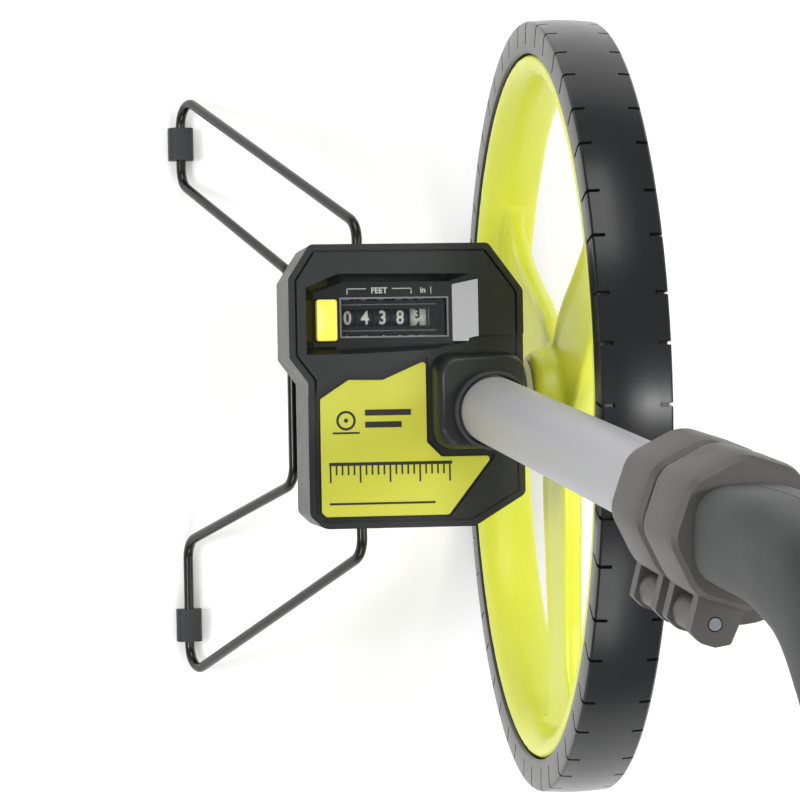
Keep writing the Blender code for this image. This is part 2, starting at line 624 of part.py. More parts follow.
def grip_outline():
    centres = [Vector(point) for point, half in GRIP_LINE]
    near, far = [], []
    for i, (point, half) in enumerate(GRIP_LINE):
        ahead = (centres[min(i + 1, len(centres) - 1)] - centres[max(i - 1, 0)]).normalized()
        across = Vector((-ahead.y, ahead.x))
        near.append(tuple(Vector(point) + across * half))
        far.append(tuple(Vector(point) - across * half))
    return near + far[::-1]


def make_grip(handle):
    outline = grip_outline()
    core = inset(outline, GRIP_WALL)
    for name, side in (("grip_left", 1), ("grip_right", -1)):
        low, high = sorted((0.15 * side, GRIP_HALF_WIDTH * side))
        half = to_object(name, prism(outline, low, high, "Y"), BLACK, parent=handle, smooth=False)
        inner = sorted((-2.0 * side, (GRIP_HALF_WIDTH - GRIP_WALL) * side))
        cut(half, prism(core, *inner, "Y"), parent=handle)
        for place in GRIP_SCREWS:
            boss = sorted((0.5 * side, (GRIP_HALF_WIDTH - 1) * side))
            join(half, rod(4.4, *boss, "Y", place, 12), parent=handle)
        hole = (-17.5, 0.5) if side < 0 else (-1, 11.5)
        for place in GRIP_SCREWS:
            cut(half, rod(SCREW_HOLE, *hole, "Y", place, 10), parent=handle)
            if side < 0:
                cut(half, rod(3.4, -20, -13.9, "Y", place, 12), parent=handle)
        cut(half, rod(UPPER_TUBE[0] + GAP, 280, UPPER_TUBE[3] + GAP, sides=28), parent=handle)
    for i, place in enumerate(GRIP_SCREWS):
        screw = [(0, -15.4), (3.1, -15.4), (3.1, -14.2), (1.5, -14.2), (1.5, 11.0), (0, 11.0)]
        to_object(f"grip_screw_{i + 1}", turned(screw, 10, "Y", place), STEEL, parent=handle)


def main():
    clear_scene()
    handle = make_handle_empty()
    make_tyre()
    make_rim()
    make_hub_parts()
    make_axle()
    make_carrier(handle)
    make_housing(handle)
    make_rear_cover()
    make_housing_trim(handle)
    make_counter()
    make_button()
    make_stand()
    make_telescope(handle)
    make_grip(handle)


main()
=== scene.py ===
"""Looks of a measuring wheel: tyre, dished rim, counter housing, wire stand and telescopic handle."""
import json
from math import cos, pi, radians, sin, tan

import bmesh
import bpy
from mathutils import Matrix, Vector


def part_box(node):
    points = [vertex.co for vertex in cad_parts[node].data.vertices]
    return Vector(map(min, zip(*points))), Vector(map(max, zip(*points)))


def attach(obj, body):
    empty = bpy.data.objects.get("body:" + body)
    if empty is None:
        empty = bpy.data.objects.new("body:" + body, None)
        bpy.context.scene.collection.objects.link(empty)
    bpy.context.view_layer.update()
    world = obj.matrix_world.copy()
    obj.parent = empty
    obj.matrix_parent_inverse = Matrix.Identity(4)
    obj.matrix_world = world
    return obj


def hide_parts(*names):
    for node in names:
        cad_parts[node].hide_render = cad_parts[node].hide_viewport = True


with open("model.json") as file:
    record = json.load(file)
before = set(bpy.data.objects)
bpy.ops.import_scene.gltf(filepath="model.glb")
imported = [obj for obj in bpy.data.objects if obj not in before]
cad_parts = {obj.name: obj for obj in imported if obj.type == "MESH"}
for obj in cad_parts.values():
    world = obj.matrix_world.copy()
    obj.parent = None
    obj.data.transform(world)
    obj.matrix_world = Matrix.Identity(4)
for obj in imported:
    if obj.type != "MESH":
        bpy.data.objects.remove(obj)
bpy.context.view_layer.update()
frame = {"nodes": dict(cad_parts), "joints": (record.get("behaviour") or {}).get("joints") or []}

bl_info = {
    "name": "Measuring wheel",
    "version": (1, 0, 0),
    "blender": (4, 5, 0),
    "location": "View3D > Sidebar > Measuring wheel",
    "description": "Builds the visible pieces of a measuring wheel round its packed frame",
    "category": "Object",
}

MM = 0.001
MOTTLE = 28  # slow mottle's size, in grains
NODES = frame["nodes"]
JOINTS = {joint["name"]: joint for joint in frame["joints"]}

AXLE = Vector(JOINTS["wheel_spin"]["pos_m"])
COUNTER = Vector(JOINTS["inch_drum_spin"]["pos_m"])
STAND_PIVOT = Vector(JOINTS["stand_fold"]["pos_m"])
WHEEL_PLACE = Matrix.Translation(AXLE) @ Matrix.Rotation(-pi / 2, 4, "X")

CLAMP_TURN = Matrix.Rotation(radians(-18.0), 2)
PIN_REACH = 26.0  # lever pin from the tube's axis, mm
LEVER_PIN = tuple(CLAMP_TURN @ Vector((-PIN_REACH, 0.0)))
LEVER_LOCAL = Vector((*LEVER_PIN, 252.0)) * MM  # lower lever's pivot from the socket, along the tube
TUBE_TURN = Vector((0, 0, 1)).rotation_difference(Vector(JOINTS["middle_slide"]["axis"])).to_matrix()
SOCKET = Vector(JOINTS["lower_lever_open"]["pos_m"]) - TUBE_TURN @ LEVER_LOCAL
TUBE_PLACE = Matrix.Translation(SOCKET) @ TUBE_TURN.to_4x4()

# Outlines seen from above and heights, in mm from the tread's lowest point.
HOUSING = [(60.4, 97.0), (60.4, 31.2), (43.1, 18.5), (-32.0, 18.5), (-43.5, 37.5), (-43.5, 93.0),
           (-38.5, 98.3), (10.0, 98.3), (19.0, 105.0), (48.0, 105.0)]
LABEL_ZONE = [(4.5, 94.8), (11.8, 83.6), (11.6, 71.0), (19.0, 53.8), (-12.0, 53.8), (-16.8, 49.0),
              (-16.8, 28.5), (-40.0, 46.5), (-40.0, 92.6), (-37.8, 94.8)]
LABEL_FLOOR = 177.7
LABEL_BASE = 178.0
LABEL_FACE = 178.75
PRINT_LEVEL = (LABEL_FACE - 0.05, LABEL_FACE + 0.05)
POCKET_FLOOR = 176.5
DECK_DROP = 6.0  # inside of the top wall, below the deck
INK = 0.06  # thickness that a print is drawn with

# Tubes: node, body, outer and inner radius, low and high end along the handle.
TUBES = [("lower_tube", "root", 12.3, 11.1, -14.0, 262.0),
         ("middle_tube", "middle_handle", 10.7, 9.6, 30.0, 294.0),
         ("upper_tube", "upper_handle", 9.2, 8.0, 36.0, 366.0)]
# Clamps: prefix, body, lever's body, low end along the handle.
CLAMPS = [("lower", "root", "lower_lever", 236.0), ("upper", "middle_handle", "upper_lever", 268.4)]
LEVER_BORE = 2.1
LEVER_INSIDE = 22.2  # the arm's inner face from the tube's axis
LEVER_WALL = 4.0

WIRE_RADIUS = 2.0
FOOT_HEIGHT = 4.5
GRIP_DEPTH = 15.9
# The grip's middle in its own plane, and its half width there.
GRIP_LINE = [((0, 303), 14), ((0, 345), 15), ((-9, 378), 17), ((-40, 404), 16), ((-88, 418), 15),
             ((-106, 421), 18)]
GRIP_SCREWS = [(-12, 385), (-46, 405), (-90, 418)]

# Drums: node, body, how many numbers, and the one at the window.
DRUMS = [("inch_drum", "counter_input", 12, 3.3), ("feet_drum_1", "feet_units", 10, 8.0),
         ("feet_drum_2", "feet_tens", 10, 3.0), ("feet_drum_3", "feet_hundreds", 10, 4.0),
         ("feet_drum_4", "feet_thousands", 10, 0.0)]
FIRST_DRUM = 56.6
DRUM_PITCH = 6.5


# ---- sizes and colours

def size_property(label, default, text):
    return bpy.props.FloatProperty(name=label, description=text, default=default * MM, unit="LENGTH",
                                   subtype="DISTANCE", precision=4)


def colour_property(label, default, text):
    return bpy.props.StringProperty(name=label, description=text + ", sRGB", default=default)


class MeasuringWheelSizes(bpy.types.PropertyGroup):
    sipe_count: bpy.props.IntProperty(name="Sipes", description="Slots round each shoulder", default=48)
    sipe_width: size_property("Sipe width", 1.3, "Width of one slot round the tread")
    sipe_depth: size_property("Sipe depth", 1.5, "Depth of a slot below the shoulder")
    moulded_edge: size_property("Moulded edge", 0.7, "Radius on the edges of moulded plastic")
    rim_voxel: size_property("Rim grain", 1.1, "Grain that the rim, hub and spokes are blended with")
    digit_height: size_property("Digit height", 4.9, "Height of the numbers on the drums")


class MeasuringWheelColours(bpy.types.PropertyGroup):
    lime: colour_property("Rim", "E8EE48", "Moulded rim colour")
    black: colour_property("Housing", "141718", "Moulded housing colour")
    label: colour_property("Label", "BEBF3C", "Printed label colour")
    button: colour_property("Button", "EDE45A", "Reset button colour")
    tyre: colour_property("Tyre", "1A1B1D", "Tyre rubber colour")
    tube: colour_property("Tube", "ABABAF", "Handle tube colour")
    clamp: colour_property("Clamps", "4C4A49", "Handle clamp colour")


def sizes():
    return bpy.context.scene.measuring_wheel_sizes


def colours():
    return bpy.context.scene.measuring_wheel_colours


# ---- materials

def linear(hex_colour, scale=1.0):
    """An sRGB hex colour as linear RGBA."""
    channels = [int(hex_colour[i:i + 2], 16) / 255 for i in (0, 2, 4)]
    values = [c / 12.92 if c <= 0.04045 else ((c + 0.055) / 1.055) ** 2.4 for c in channels]
    return (*[min(1.0, v * scale) for v in values], 1.0)


def add_node(tree, kind, settings=None, links=None):
    """Add a node, set its attributes or inputs, and link its inputs from other nodes' outputs."""
    node = tree.nodes.new(kind)
    for key, value in (settings or {}).items():
        if key in node.inputs:
            node.inputs[key].default_value = value
        else:
            setattr(node, key, value)
    for key, (source, output) in (links or {}).items():
        tree.links.new(source.outputs[output], node.inputs[key])
    return node


def grained(name, light, dark, roughness, grain_mm, bump_mm, metallic=0.0, wear=0.12, stretch=(1, 1, 1),
            sockets=None):
    """A shader whose colour and roughness vary with a slow mottle, and its relief with a fine grain.

    grain_mm is the size that the grain is drawn at and bump_mm its depth; wear is the spread of roughness.
    """
    made = bpy.data.materials.get(name)
    if made is not None:
        return made
    made = bpy.data.materials.new(name)
    made.use_nodes = True
    tree = made.node_tree
    shader = tree.nodes["Principled BSDF"]
    place = add_node(tree, "ShaderNodeTexCoord")
    mapping = add_node(tree, "ShaderNodeMapping", {"Scale": stretch}, {"Vector": (place, "Object")})
    fine = {"Scale": 1 / (grain_mm * MM), "Detail": 3.0, "Roughness": 0.6}
    slow = {"Scale": 1 / (grain_mm * MOTTLE * MM), "Detail": 4.0}
    grain = add_node(tree, "ShaderNodeTexNoise", fine, {"Vector": (mapping, "Vector")})
    mottle = add_node(tree, "ShaderNodeTexNoise", slow, {"Vector": (mapping, "Vector")})
    blend = add_node(tree, "ShaderNodeMix", {"data_type": "RGBA", "blend_type": "MIX"},
                     {0: (mottle, "Fac")})
    blend.inputs[6].default_value = light
    blend.inputs[7].default_value = dark
    rough = add_node(tree, "ShaderNodeMapRange", {"To Min": max(0.03, roughness - wear / 2),
                     "To Max": roughness + wear / 2}, {"Value": (mottle, "Fac")})
    bump = add_node(tree, "ShaderNodeBump", {"Strength": 0.5, "Distance": bump_mm * MM},
                    {"Height": (grain, "Fac")})
    tree.links.new(blend.outputs[2], shader.inputs["Base Color"])
    tree.links.new(rough.outputs["Result"], shader.inputs["Roughness"])
    tree.links.new(bump.outputs["Normal"], shader.inputs["Normal"])
    shader.inputs["Metallic"].default_value = metallic
    for key, value in (sockets or {}).items():
        shader.inputs[key].default_value = value
    return made


def spark_eroded_abs():
    """Injection-moulded ABS from a spark-eroded tool: fine matt pebble with a soft sheen."""
    # The pebble keeps its real size, about a third of a millimetre.
    c = colours().black
    return grained("abs_spark_eroded_black", linear(c), linear(c, 0.72), 0.42, 0.35, 0.035)


def polished_abs():
    """ABS from a polished tool: the counter pocket, smooth enough to carry a broad reflection."""
    c = colours().black
    return grained("abs_polished_black", linear(c, 0.9), linear(c, 0.7), 0.2, 0.8, 0.002, wear=0.04,
                   sockets={"Specular IOR Level": 0.42})


def grey_bezel():
    """Edges of the clear window, scuffed and frosted: thin pale lines that outline the counter."""
    return grained("polycarbonate_frosted_edge", linear("7E8083"), linear("5E6063"), 0.35, 0.4, 0.02)


def lime_polypropylene():
    """Gloss-moulded, slightly translucent polypropylene: light glows a little inside the rim."""
    c = colours().lime
    return grained("polypropylene_moulded_lime", linear(c), linear(c, 0.86), 0.33, 1.2, 0.02,
                   sockets={"Subsurface Weight": 0.12, "Subsurface Radius": (0.004, 0.004, 0.001),
                            "Subsurface Scale": 1.0})


def tyre_rubber():
    """Compression-moulded rubber tyre: dull charcoal, polished a little by the ground on the crown."""
    c = colours().tyre
    return grained("rubber_moulded_tyre", linear(c), linear(c, 0.6), 0.24, 0.6, 0.012, wear=0.08,
                   sockets={"Specular IOR Level": 0.32})


def soft_pvc():
    """Dip-moulded soft PVC for the stand's feet: dark, dull and faintly uneven."""
    return grained("pvc_soft_black", linear("303134"), linear("1F2022"), 0.6, 0.8, 0.05)


def anodised_tube():
    """Drawn aluminium tube, matt anodised: faint lines along its length under an even silver."""
    # The die's lines are really about 0.1 mm apart, and are drawn at 1.1 mm so that they show.
    c = colours().tube
    return grained("aluminium_anodised_matt", linear(c), linear(c, 0.9), 0.5, 1.1, 0.01, metallic=0.3,
                   stretch=(1, 1, 0.02))


def glass_filled_nylon():
    """Glass-filled nylon of the clamps: grey with short fibres that catch light at the surface."""
    # The fibres are hair-thin, and their marks are drawn at 0.5 mm so that they show.
    c = colours().clamp
    return grained("nylon_glass_filled_grey", linear(c), linear(c, 0.78), 0.5, 0.5, 0.04)


def powder_coated_wire():
    """Spring steel rod under gloss black powder coat: slow orange peel, hard highlights."""
    return grained("steel_powder_coated_black", linear("0D0D0E"), linear("08080A"), 0.24, 1.6, 0.02,
                   wear=0.08, sockets={"Specular IOR Level": 0.4})


def zinc_plated_steel():
    """Bright zinc-plated steel: cool grey with cloudy spangles."""
    return grained("steel_zinc_plated", linear("B9BDC2"), linear("8E939A"), 0.33, 0.5, 0.01, metallic=1.0)


def turned_brass():
    """Free-cutting brass, turned: yellow metal with fine tool lines."""
    # The tool's lines are about 0.1 mm apart, and are drawn at 0.3 mm.
    return grained("brass_turned", linear("C9A24E"), linear("9E7A34"), 0.3, 0.3, 0.01, metallic=1.0)


def cast_aluminium():
    """Die-cast aluminium: light grey, slightly blotched by the mould's flow."""
    return grained("aluminium_die_cast", linear("A3A5A8"), linear("82858A"), 0.5, 0.7, 0.04, metallic=1.0)


def natural_nylon():
    """Unpigmented nylon of bushes and gears: waxy off-white."""
    return grained("nylon_natural", linear("DDD8C6"), linear("C6BFA8"), 0.42, 0.8, 0.02,
                   sockets={"Subsurface Weight": 0.1, "Subsurface Radius": (0.002, 0.002, 0.001)})


def acetal_black():
    """Black acetal drums: smooth and slippery."""
    return grained("acetal_black", linear("1B1C1E"), linear("141516"), 0.3, 0.6, 0.008)


def acetal_white():
    """White acetal of the inch drum: smooth, with a soft gloss."""
    return grained("acetal_white", linear("E4E4E0"), linear("CFCFCA"), 0.32, 0.6, 0.008)


def pad_print(name, hex_colour):
    """Pad-printed ink: a dull film a little uneven at its edges."""
    return grained("ink_pad_printed_" + name, linear(hex_colour), linear(hex_colour, 0.85), 0.55, 0.3, 0.005)


def laminated_label():
    """Printed polyester label under a pebbled over-laminate: flat colour with a broken gloss."""
    # The laminate's pebble is about 0.2 mm, and is drawn at 0.55 mm so that it shows.
    c = colours().label
    return grained("polyester_label_lime", linear(c), linear(c, 0.9), 0.4, 0.55, 0.03, wear=0.08)


def yellow_button_abs():
    """Gloss ABS button, a little worn in the middle by thumbs."""
    c = colours().button
    return grained("abs_gloss_yellow", linear(c), linear(c, 0.9), 0.26, 0.9, 0.01,
                   sockets={"Subsurface Weight": 0.08, "Subsurface Radius": (0.003, 0.003, 0.001)})


def grip_rubber():
    """Over-moulded thermoplastic rubber of the grip: very matt, fine pebble."""
    return grained("tpe_overmould_black", linear("202122"), linear("161718"), 0.66, 0.5, 0.06,
                   sockets={"Sheen Weight": 0.08})


def clear_window():
    """Cast polycarbonate window: clear, with a hard gloss and faint haze."""
    return grained("polycarbonate_clear", linear("30363A"), linear("262B2F"), 0.06, 2.0, 0.004, wear=0.03,
                   sockets={"Alpha": 0.14})


# ---- mesh helpers

def extent(node):
    """Low and high corners of a node's box, in millimetres."""
    return [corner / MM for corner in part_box(node)]


def add_piece(name, bm, material, body="root", replaced=(), crease=32, place=None):
    """Turn a mesh in millimetres into a piece that rides on a body."""
    piece = linked(name, bm, place)
    smooth(piece, crease)
    piece.data.materials.append(material)
    settle(piece, body, replaced)
    return piece


def linked(name, bm, place=None):
    """An object in the scene from a mesh in millimetres."""
    bmesh.ops.recalc_face_normals(bm, faces=bm.faces)
    mesh = bpy.data.meshes.new(name)
    bm.to_mesh(mesh)
    bm.free()
    mesh.transform(Matrix.Scale(MM, 4))
    if place is not None:
        mesh.transform(place)
    made = bpy.data.objects.new(name, mesh)
    bpy.context.scene.collection.objects.link(made)
    return made


def smooth(piece, crease):
    """Shade smooth, with edges sharper than a crease angle kept crisp."""
    piece.data.shade_smooth()
    piece.data.set_sharp_from_angle(angle=radians(crease))


def settle(piece, body, replaced=()):
    """Hang a piece on the body that it rides on, and hide the nodes that it stands for."""
    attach(piece, body)
    if replaced:
        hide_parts(*replaced)


def baked(piece):
    """Replace the piece's mesh by what its modifiers make of it."""
    bpy.context.view_layer.update()
    graph = bpy.context.evaluated_depsgraph_get()
    made = bpy.data.meshes.new_from_object(piece.evaluated_get(graph))
    piece.modifiers.clear()
    piece.data = made
    return piece


def add_modifier(piece, kind, **settings):
    made = piece.modifiers.new(kind.lower(), kind)
    for key, value in settings.items():
        setattr(made, key, value)
    return made


def temporary(bm, place=None):
    """A helper object used by a Boolean and removed afterwards."""
    return linked("tool", bm, place)


def carve(piece, operation, tools):
    """Cut or join helper objects, bake the result and remove the helpers."""
    for tool in tools:
        add_modifier(piece, "BOOLEAN", operation=operation, solver="EXACT", object=tool)
    baked(piece)
    for tool in tools:
        bpy.data.objects.remove(tool, do_unlink=True)
    return piece


def soften(piece, width, segments=3, angle=16):
    """Round the edges of a moulding; its flat faces stay flat in the light."""
    piece.data.shade_smooth()
    add_modifier(piece, "BEVEL", width=width, segments=segments, limit_method="ANGLE",
                 angle_limit=radians(angle), use_clamp_overlap=True, harden_normals=True)
    return baked(piece)


AXIS_ORDER = {"X": lambda u, v, w: (w, u, v), "Y": lambda u, v, w: (u, w, v), "Z": lambda u, v, w: (u, v, w)}


def loft(low_outline, high_outline, low, high, axis="Z"):
    """A closed solid between two outlines of as many points, at two places along an axis."""
    bm = bmesh.new()
    order = AXIS_ORDER[axis]
    bottom = [bm.verts.new(order(u, v, low)) for u, v in low_outline]
    top = [bm.verts.new(order(u, v, high)) for u, v in high_outline]
    bm.faces.new(bottom)
    bm.faces.new(top)
    count = len(bottom)
    for i in range(count):
        j = (i + 1) % count
        bm.faces.new((bottom[i], bottom[j], top[j], top[i]))
    return bm


def prism(outline, low, high, axis="Z"):
    """An outline extruded along an axis."""
    return loft(outline, outline, low, high, axis)


def arc(radius, degrees, centre=(0.0, 0.0)):
    """Points on a circle at the given degrees."""
    return [(centre[0] + radius * cos(radians(d)), centre[1] + radius * sin(radians(d))) for d in degrees]


def circle(radius, count, centre=(0.0, 0.0), phase=0.0):
    """Points evenly round a whole circle."""
    angles = [phase + 2 * pi * i / count for i in range(count)]
    return [(centre[0] + radius * cos(a), centre[1] + radius * sin(a)) for a in angles]


def rod(radius, low, high, axis="Z", centre=(0.0, 0.0), count=48):
    return prism(circle(radius, count, centre), low, high, axis)


def rectangle(x, y):
    """The corners of an upright rectangle between two pairs of limits."""
    return [(x[0], y[0]), (x[1], y[0]), (x[1], y[1]), (x[0], y[1])]


def box(x, y, z):
    return prism(rectangle(x, y), z[0], z[1])


def skin(rows, ring=False):
    """Join closed rows of points by quads. A ring meets its first row again; other ends are capped."""
    bm = bmesh.new()
    made = [[bm.verts.new(point) for point in row] for row in rows]
    count = len(made)
    width = len(made[0])
    for i in range(count if ring else count - 1):
        here, after = made[i], made[(i + 1) % count]
        for j in range(width):
            k = (j + 1) % width
            bm.faces.new((here[j], after[j], after[k], here[k]))
    if not ring:
        bm.faces.new(made[0])
        bm.faces.new(made[-1])
    return bm


def band(outer, inner, low, high):
    """A flat ring between two outlines of as many points."""
    edges = ((outer, low), (outer, high), (inner, high), (inner, low))
    return skin([[(x, y, height) for x, y in outline] for outline, height in edges], ring=True)


def turned(profile, count=96):
    """Turn a closed profile of (radius, height) round Z. Points on the axis are merged."""
    angles = [2 * pi * i / count for i in range(count)]
    bm = skin([[(r * cos(a), r * sin(a), h) for r, h in profile] for a in angles], ring=True)
    if any(r == 0 for r, h in profile):
        bmesh.ops.remove_doubles(bm, verts=bm.verts, dist=0.0001)
        thin = [face for face in bm.faces if face.calc_area() < 1e-9]
        bmesh.ops.delete(bm, geom=thin, context="FACES_ONLY")
        loose = [edge for edge in bm.edges if not edge.link_faces]
        bmesh.ops.delete(bm, geom=loose, context="EDGES")
    return bm


def inset(outline, distance):
    """Move every edge of a closed outline inwards."""
    points = [Vector(p) for p in outline]
    count = len(points)
    area = sum(points[i - 1].cross(points[i]) for i in range(count))
    side = 1.0 if area > 0 else -1.0
    moved = []
    for i in range(count):
        before = (points[i] - points[i - 1]).normalized()
        after = (points[(i + 1) % count] - points[i]).normalized()
        first = Vector((-before.y, before.x)) * side
        second = Vector((-after.y, after.x)) * side
        bisector = (first + second).normalized()
        moved.append(points[i] + bisector * (distance / bisector.dot(second)))
    return [(p.x, p.y) for p in moved]


def rounded(points, radii, steps=5, closed=True):
    """Replace the corners of a polyline in a plane or in space by arcs."""
    vectors = [Vector(p) for p in points]
    count = len(vectors)
    result = []
    for i, corner in enumerate(vectors):
        if not closed and i in (0, count - 1):
            result.append(tuple(corner))
            continue
        radius = radii[i] if isinstance(radii, (list, tuple)) else radii
        back = (vectors[i - 1] - corner).normalized()
        ahead = (vectors[(i + 1) % count] - corner).normalized()
        half = back.angle(ahead) / 2
        towards = (back + ahead).normalized()
        centre = corner + towards * (radius / sin(half))
        start = corner + back * (radius / tan(half)) - centre
        end = corner + ahead * (radius / tan(half)) - centre
        turn = start.angle(end)
        for k in range(steps + 1):
            share = k / steps
            offset = (start * sin((1 - share) * turn) + end * sin(share * turn)) / sin(turn)
            result.append(tuple(centre + offset))
    return result


def swept(points, radius, count=20):
    """Sweep a circle along a path; its ends are domed."""
    path = [Vector(p) for p in points]
    first = (path[0] - path[1]).normalized()
    last = (path[-1] - path[-2]).normalized()
    dome = [radians(a) for a in (25, 50, 75)]
    head = [(path[0] + first * radius * sin(a), radius * cos(a)) for a in reversed(dome)]
    tail = [(path[-1] + last * radius * sin(a), radius * cos(a)) for a in dome]
    stations = head + [(p, radius) for p in path] + tail
    rows = []
    normal = None
    for i, (point, size) in enumerate(stations):
        after = stations[min(i + 1, len(stations) - 1)][0]
        before = stations[max(i - 1, 0)][0]
        ahead = (after - before).normalized()
        normal = ahead.orthogonal() if normal is None else normal - ahead * normal.dot(ahead)
        normal.normalize()
        other = ahead.cross(normal)
        angles = [2 * pi * k / count for k in range(count)]
        rows.append([point + (normal * cos(a) + other * sin(a)) * size for a in angles])
    return skin(rows)


def merge(*meshes):
    """Put several meshes in one, as separate shells."""
    whole = bmesh.new()
    for bm in meshes:
        part = bpy.data.meshes.new("part")
        bm.to_mesh(part)
        bm.free()
        whole.from_mesh(part)
        bpy.data.meshes.remove(part)
    return whole


# ---- wheel

class MEASURING_WHEEL_OT_tyre(bpy.types.Operator):
    """Tyre with a smooth crown, sunk shoulders and moulded slots"""
    bl_idname = "measuring_wheel.tyre"
    bl_label = "Tyre"

    def execute(self, context):
        s = sizes()
        high = extent("tyre")[1]
        outer = high.x
        plain, slotted = tyre_profiles(outer, high.y, s.sipe_depth / MM)
        pitch = 2 * pi / s.sipe_count
        slot = s.sipe_width / MM / outer
        wall = slot * 0.12
        shift = 0.006  # every second slot sits a little nearer the next one
        rows = []
        for i in range(s.sipe_count):
            side = 1 if i % 2 else -1
            rest = pitch - side * 2 * shift - slot
            stations = [(0.0, plain), (wall, slotted), (slot - wall, slotted), (slot, plain)]
            stations += [(slot + rest * k / 7, plain) for k in range(1, 7)]
            rows += [leaning(profile, pitch * i + side * shift + turn) for turn, profile in stations]
        add_piece("tyre_tread", skin(rows, ring=True), tyre_rubber(), "wheel", ("tyre",), 30,
                  WHEEL_PLACE)
        return {"FINISHED"}


def leaning(profile, angle):
    """A section at an angle round the tyre; below the tread its slots lean over."""
    turns = [angle + 0.016 * max(0.0, (141.0 - r) / 8.0) for r, h in profile]
    return [(r * cos(a), r * sin(a), h) for a, (r, h) in zip(turns, profile)]


def tyre_profiles(outer, half, depth):
    """The tyre's section away from a slot, and in a slot."""
    slot_end = 7.6
    shoulder = outer - 0.35
    inner = 133.1
    bead = [(inner, half - 0.9), (inner + 0.8, half - 0.15), (136.4, half)]
    crown = [(shoulder + 0.05, slot_end), (outer - 0.1, 5.0), (outer, 2.0)]
    side = [(137.4, half), (shoulder - 2.0, half), (shoulder - 0.75, half - 0.3),
            (shoulder - 0.2, half - 1.0), (shoulder, slot_end + 0.7)]
    cut_side = [(137.4, half - 0.9), (shoulder - 2.0, half - 1.2), (shoulder - depth, half - 1.5),
                (shoulder - depth, half - 2.2), (shoulder - depth, slot_end + 0.7)]
    return [mirrored(bead + middle + crown) for middle in (side, cut_side)]


def mirrored(points):
    """A half section and its mirror image on the other side of the middle plane."""
    return points + [(r, -h) for r, h in reversed(points)]


class MEASURING_WHEEL_OT_rim(bpy.types.Operator):
    """Dished rim, three hollow-faced blade spokes and the hub, moulded as one"""
    bl_idname = "measuring_wheel.rim"
    bl_label = "Rim and spokes"

    def execute(self, context):
        outer = extent("wheel_rim")[1].x
        half = 12.0
        throat = 122.8
        sink = 6.6
        dish = [(throat + sink - sink * cos(k * pi / 16), half * sin(k * pi / 16)) for k in range(-8, 9)]
        lips = [(outer - 1.0, half), (outer - 1.0, -half)]
        profile = [(outer, -half), (outer, half), lips[0]] + dish[::-1] + lips[1:]
        parts = [temporary(turned(profile, 288), WHEEL_PLACE)]
        hub = [(8.4, -12.8), (19.5, -12.8), (21.5, -9.0), (22.5, -5.0), (22.5, 3.0), (21.0, 9.5),
               (19.5, 11.4), (8.4, 11.4)]
        parts.append(temporary(turned(hub), WHEEL_PLACE))
        for i in range(3):
            spin = Matrix.Rotation(pi + 2 * pi * i / 3, 4, "Y")
            place = Matrix.Translation(AXLE) @ spin
            parts.append(temporary(blade(), place))
        rim = parts[0]
        rim.name = "rim_and_spokes"
        carve(rim, "UNION", parts[1:])
        add_modifier(rim, "REMESH", mode="VOXEL", voxel_size=sizes().rim_voxel, adaptivity=0.0)
        add_modifier(rim, "SMOOTH", factor=0.5, iterations=16)
        baked(rim)
        rim.data.shade_smooth()
        rim.data.materials.clear()
        rim.data.materials.append(lime_polypropylene())
        settle(rim, "wheel", ("wheel_rim",))
        return {"FINISHED"}


def blade():
    """One spoke along +X: a wide blade with thick rounded edges and a thinner hollow face."""
    stations = [(15, 20), (30, 22.5), (45, 22.0), (62, 19.6), (84, 17.8), (100, 18.6), (112, 21.0),
                (120, 25.0), (125.5, 31.0)]
    rows = []
    middle = -1.5
    web = 2.6
    for reach, width in stations:
        thick = 3.9 if reach < 112 else 3.2
        half = [(-width, thick * 0.55), (-width + 1.0, thick), (-width + 3.2, thick), (-width + 6.5, web),
                (width - 6.5, web), (width - 3.2, thick), (width - 1.0, thick), (width, thick * 0.55)]
        section = half + [(u, -v) for u, v in reversed(half)]
        rows.append([(reach, middle + v, u) for u, v in section])
    return skin(rows)


class MEASURING_WHEEL_OT_hub(bpy.types.Operator):
    """Domed cap over the axle's nut, with short ribs round its face"""
    bl_idname = "measuring_wheel.hub"
    bl_label = "Hub trim"

    def execute(self, context):
        low, high = [corner.y for corner in extent("hub_cap")]
        radius = 17.9
        dome = [(radius * cos(a), low + 6.0 - 5.9 * sin(a)) for a in [pi / 2 * k / 8 for k in range(9)]]
        dome[-1] = (0.0, dome[-1][1])
        inner = [(0.0, low + 1.6), (9.0, low + 1.8), (14.5, low + 4.4), (16.2, low + 8.0), (16.2, high)]
        profile = [(radius, high)] + dome + inner
        ribs = merge(*[rib(angle, low) for angle in range(0, 360, 30)])
        add_piece("hub_cap_dome", turned(profile), spark_eroded_abs(), "wheel", ("hub_cap",), crease=40,
                  place=WHEEL_PLACE)
        add_piece("hub_cap_ribs", ribs, spark_eroded_abs(), "wheel", crease=30, place=WHEEL_PLACE)
        return {"FINISHED"}


def rib(angle, low):
    """A short raised rib on the hub cap's face."""
    bm = prism(rounded([(7.0, -0.6), (12.5, -0.8), (12.5, 0.8), (7.0, 0.6)], 0.3, 2), low + 0.1, low + 2.0)
    bmesh.ops.rotate(bm, verts=bm.verts, cent=(0, 0, 0), matrix=Matrix.Rotation(radians(angle), 3, "Z"))
    return bm


# ---- counter housing

def housing_radii(base):
    """Corner radii of the housing's outline: crisp chamfers, with one broad corner at the rear."""
    return [base, base, base * 1.3, base * 1.3, base, base * 2.2, base * 1.5, base * 0.9, base * 0.9, base]


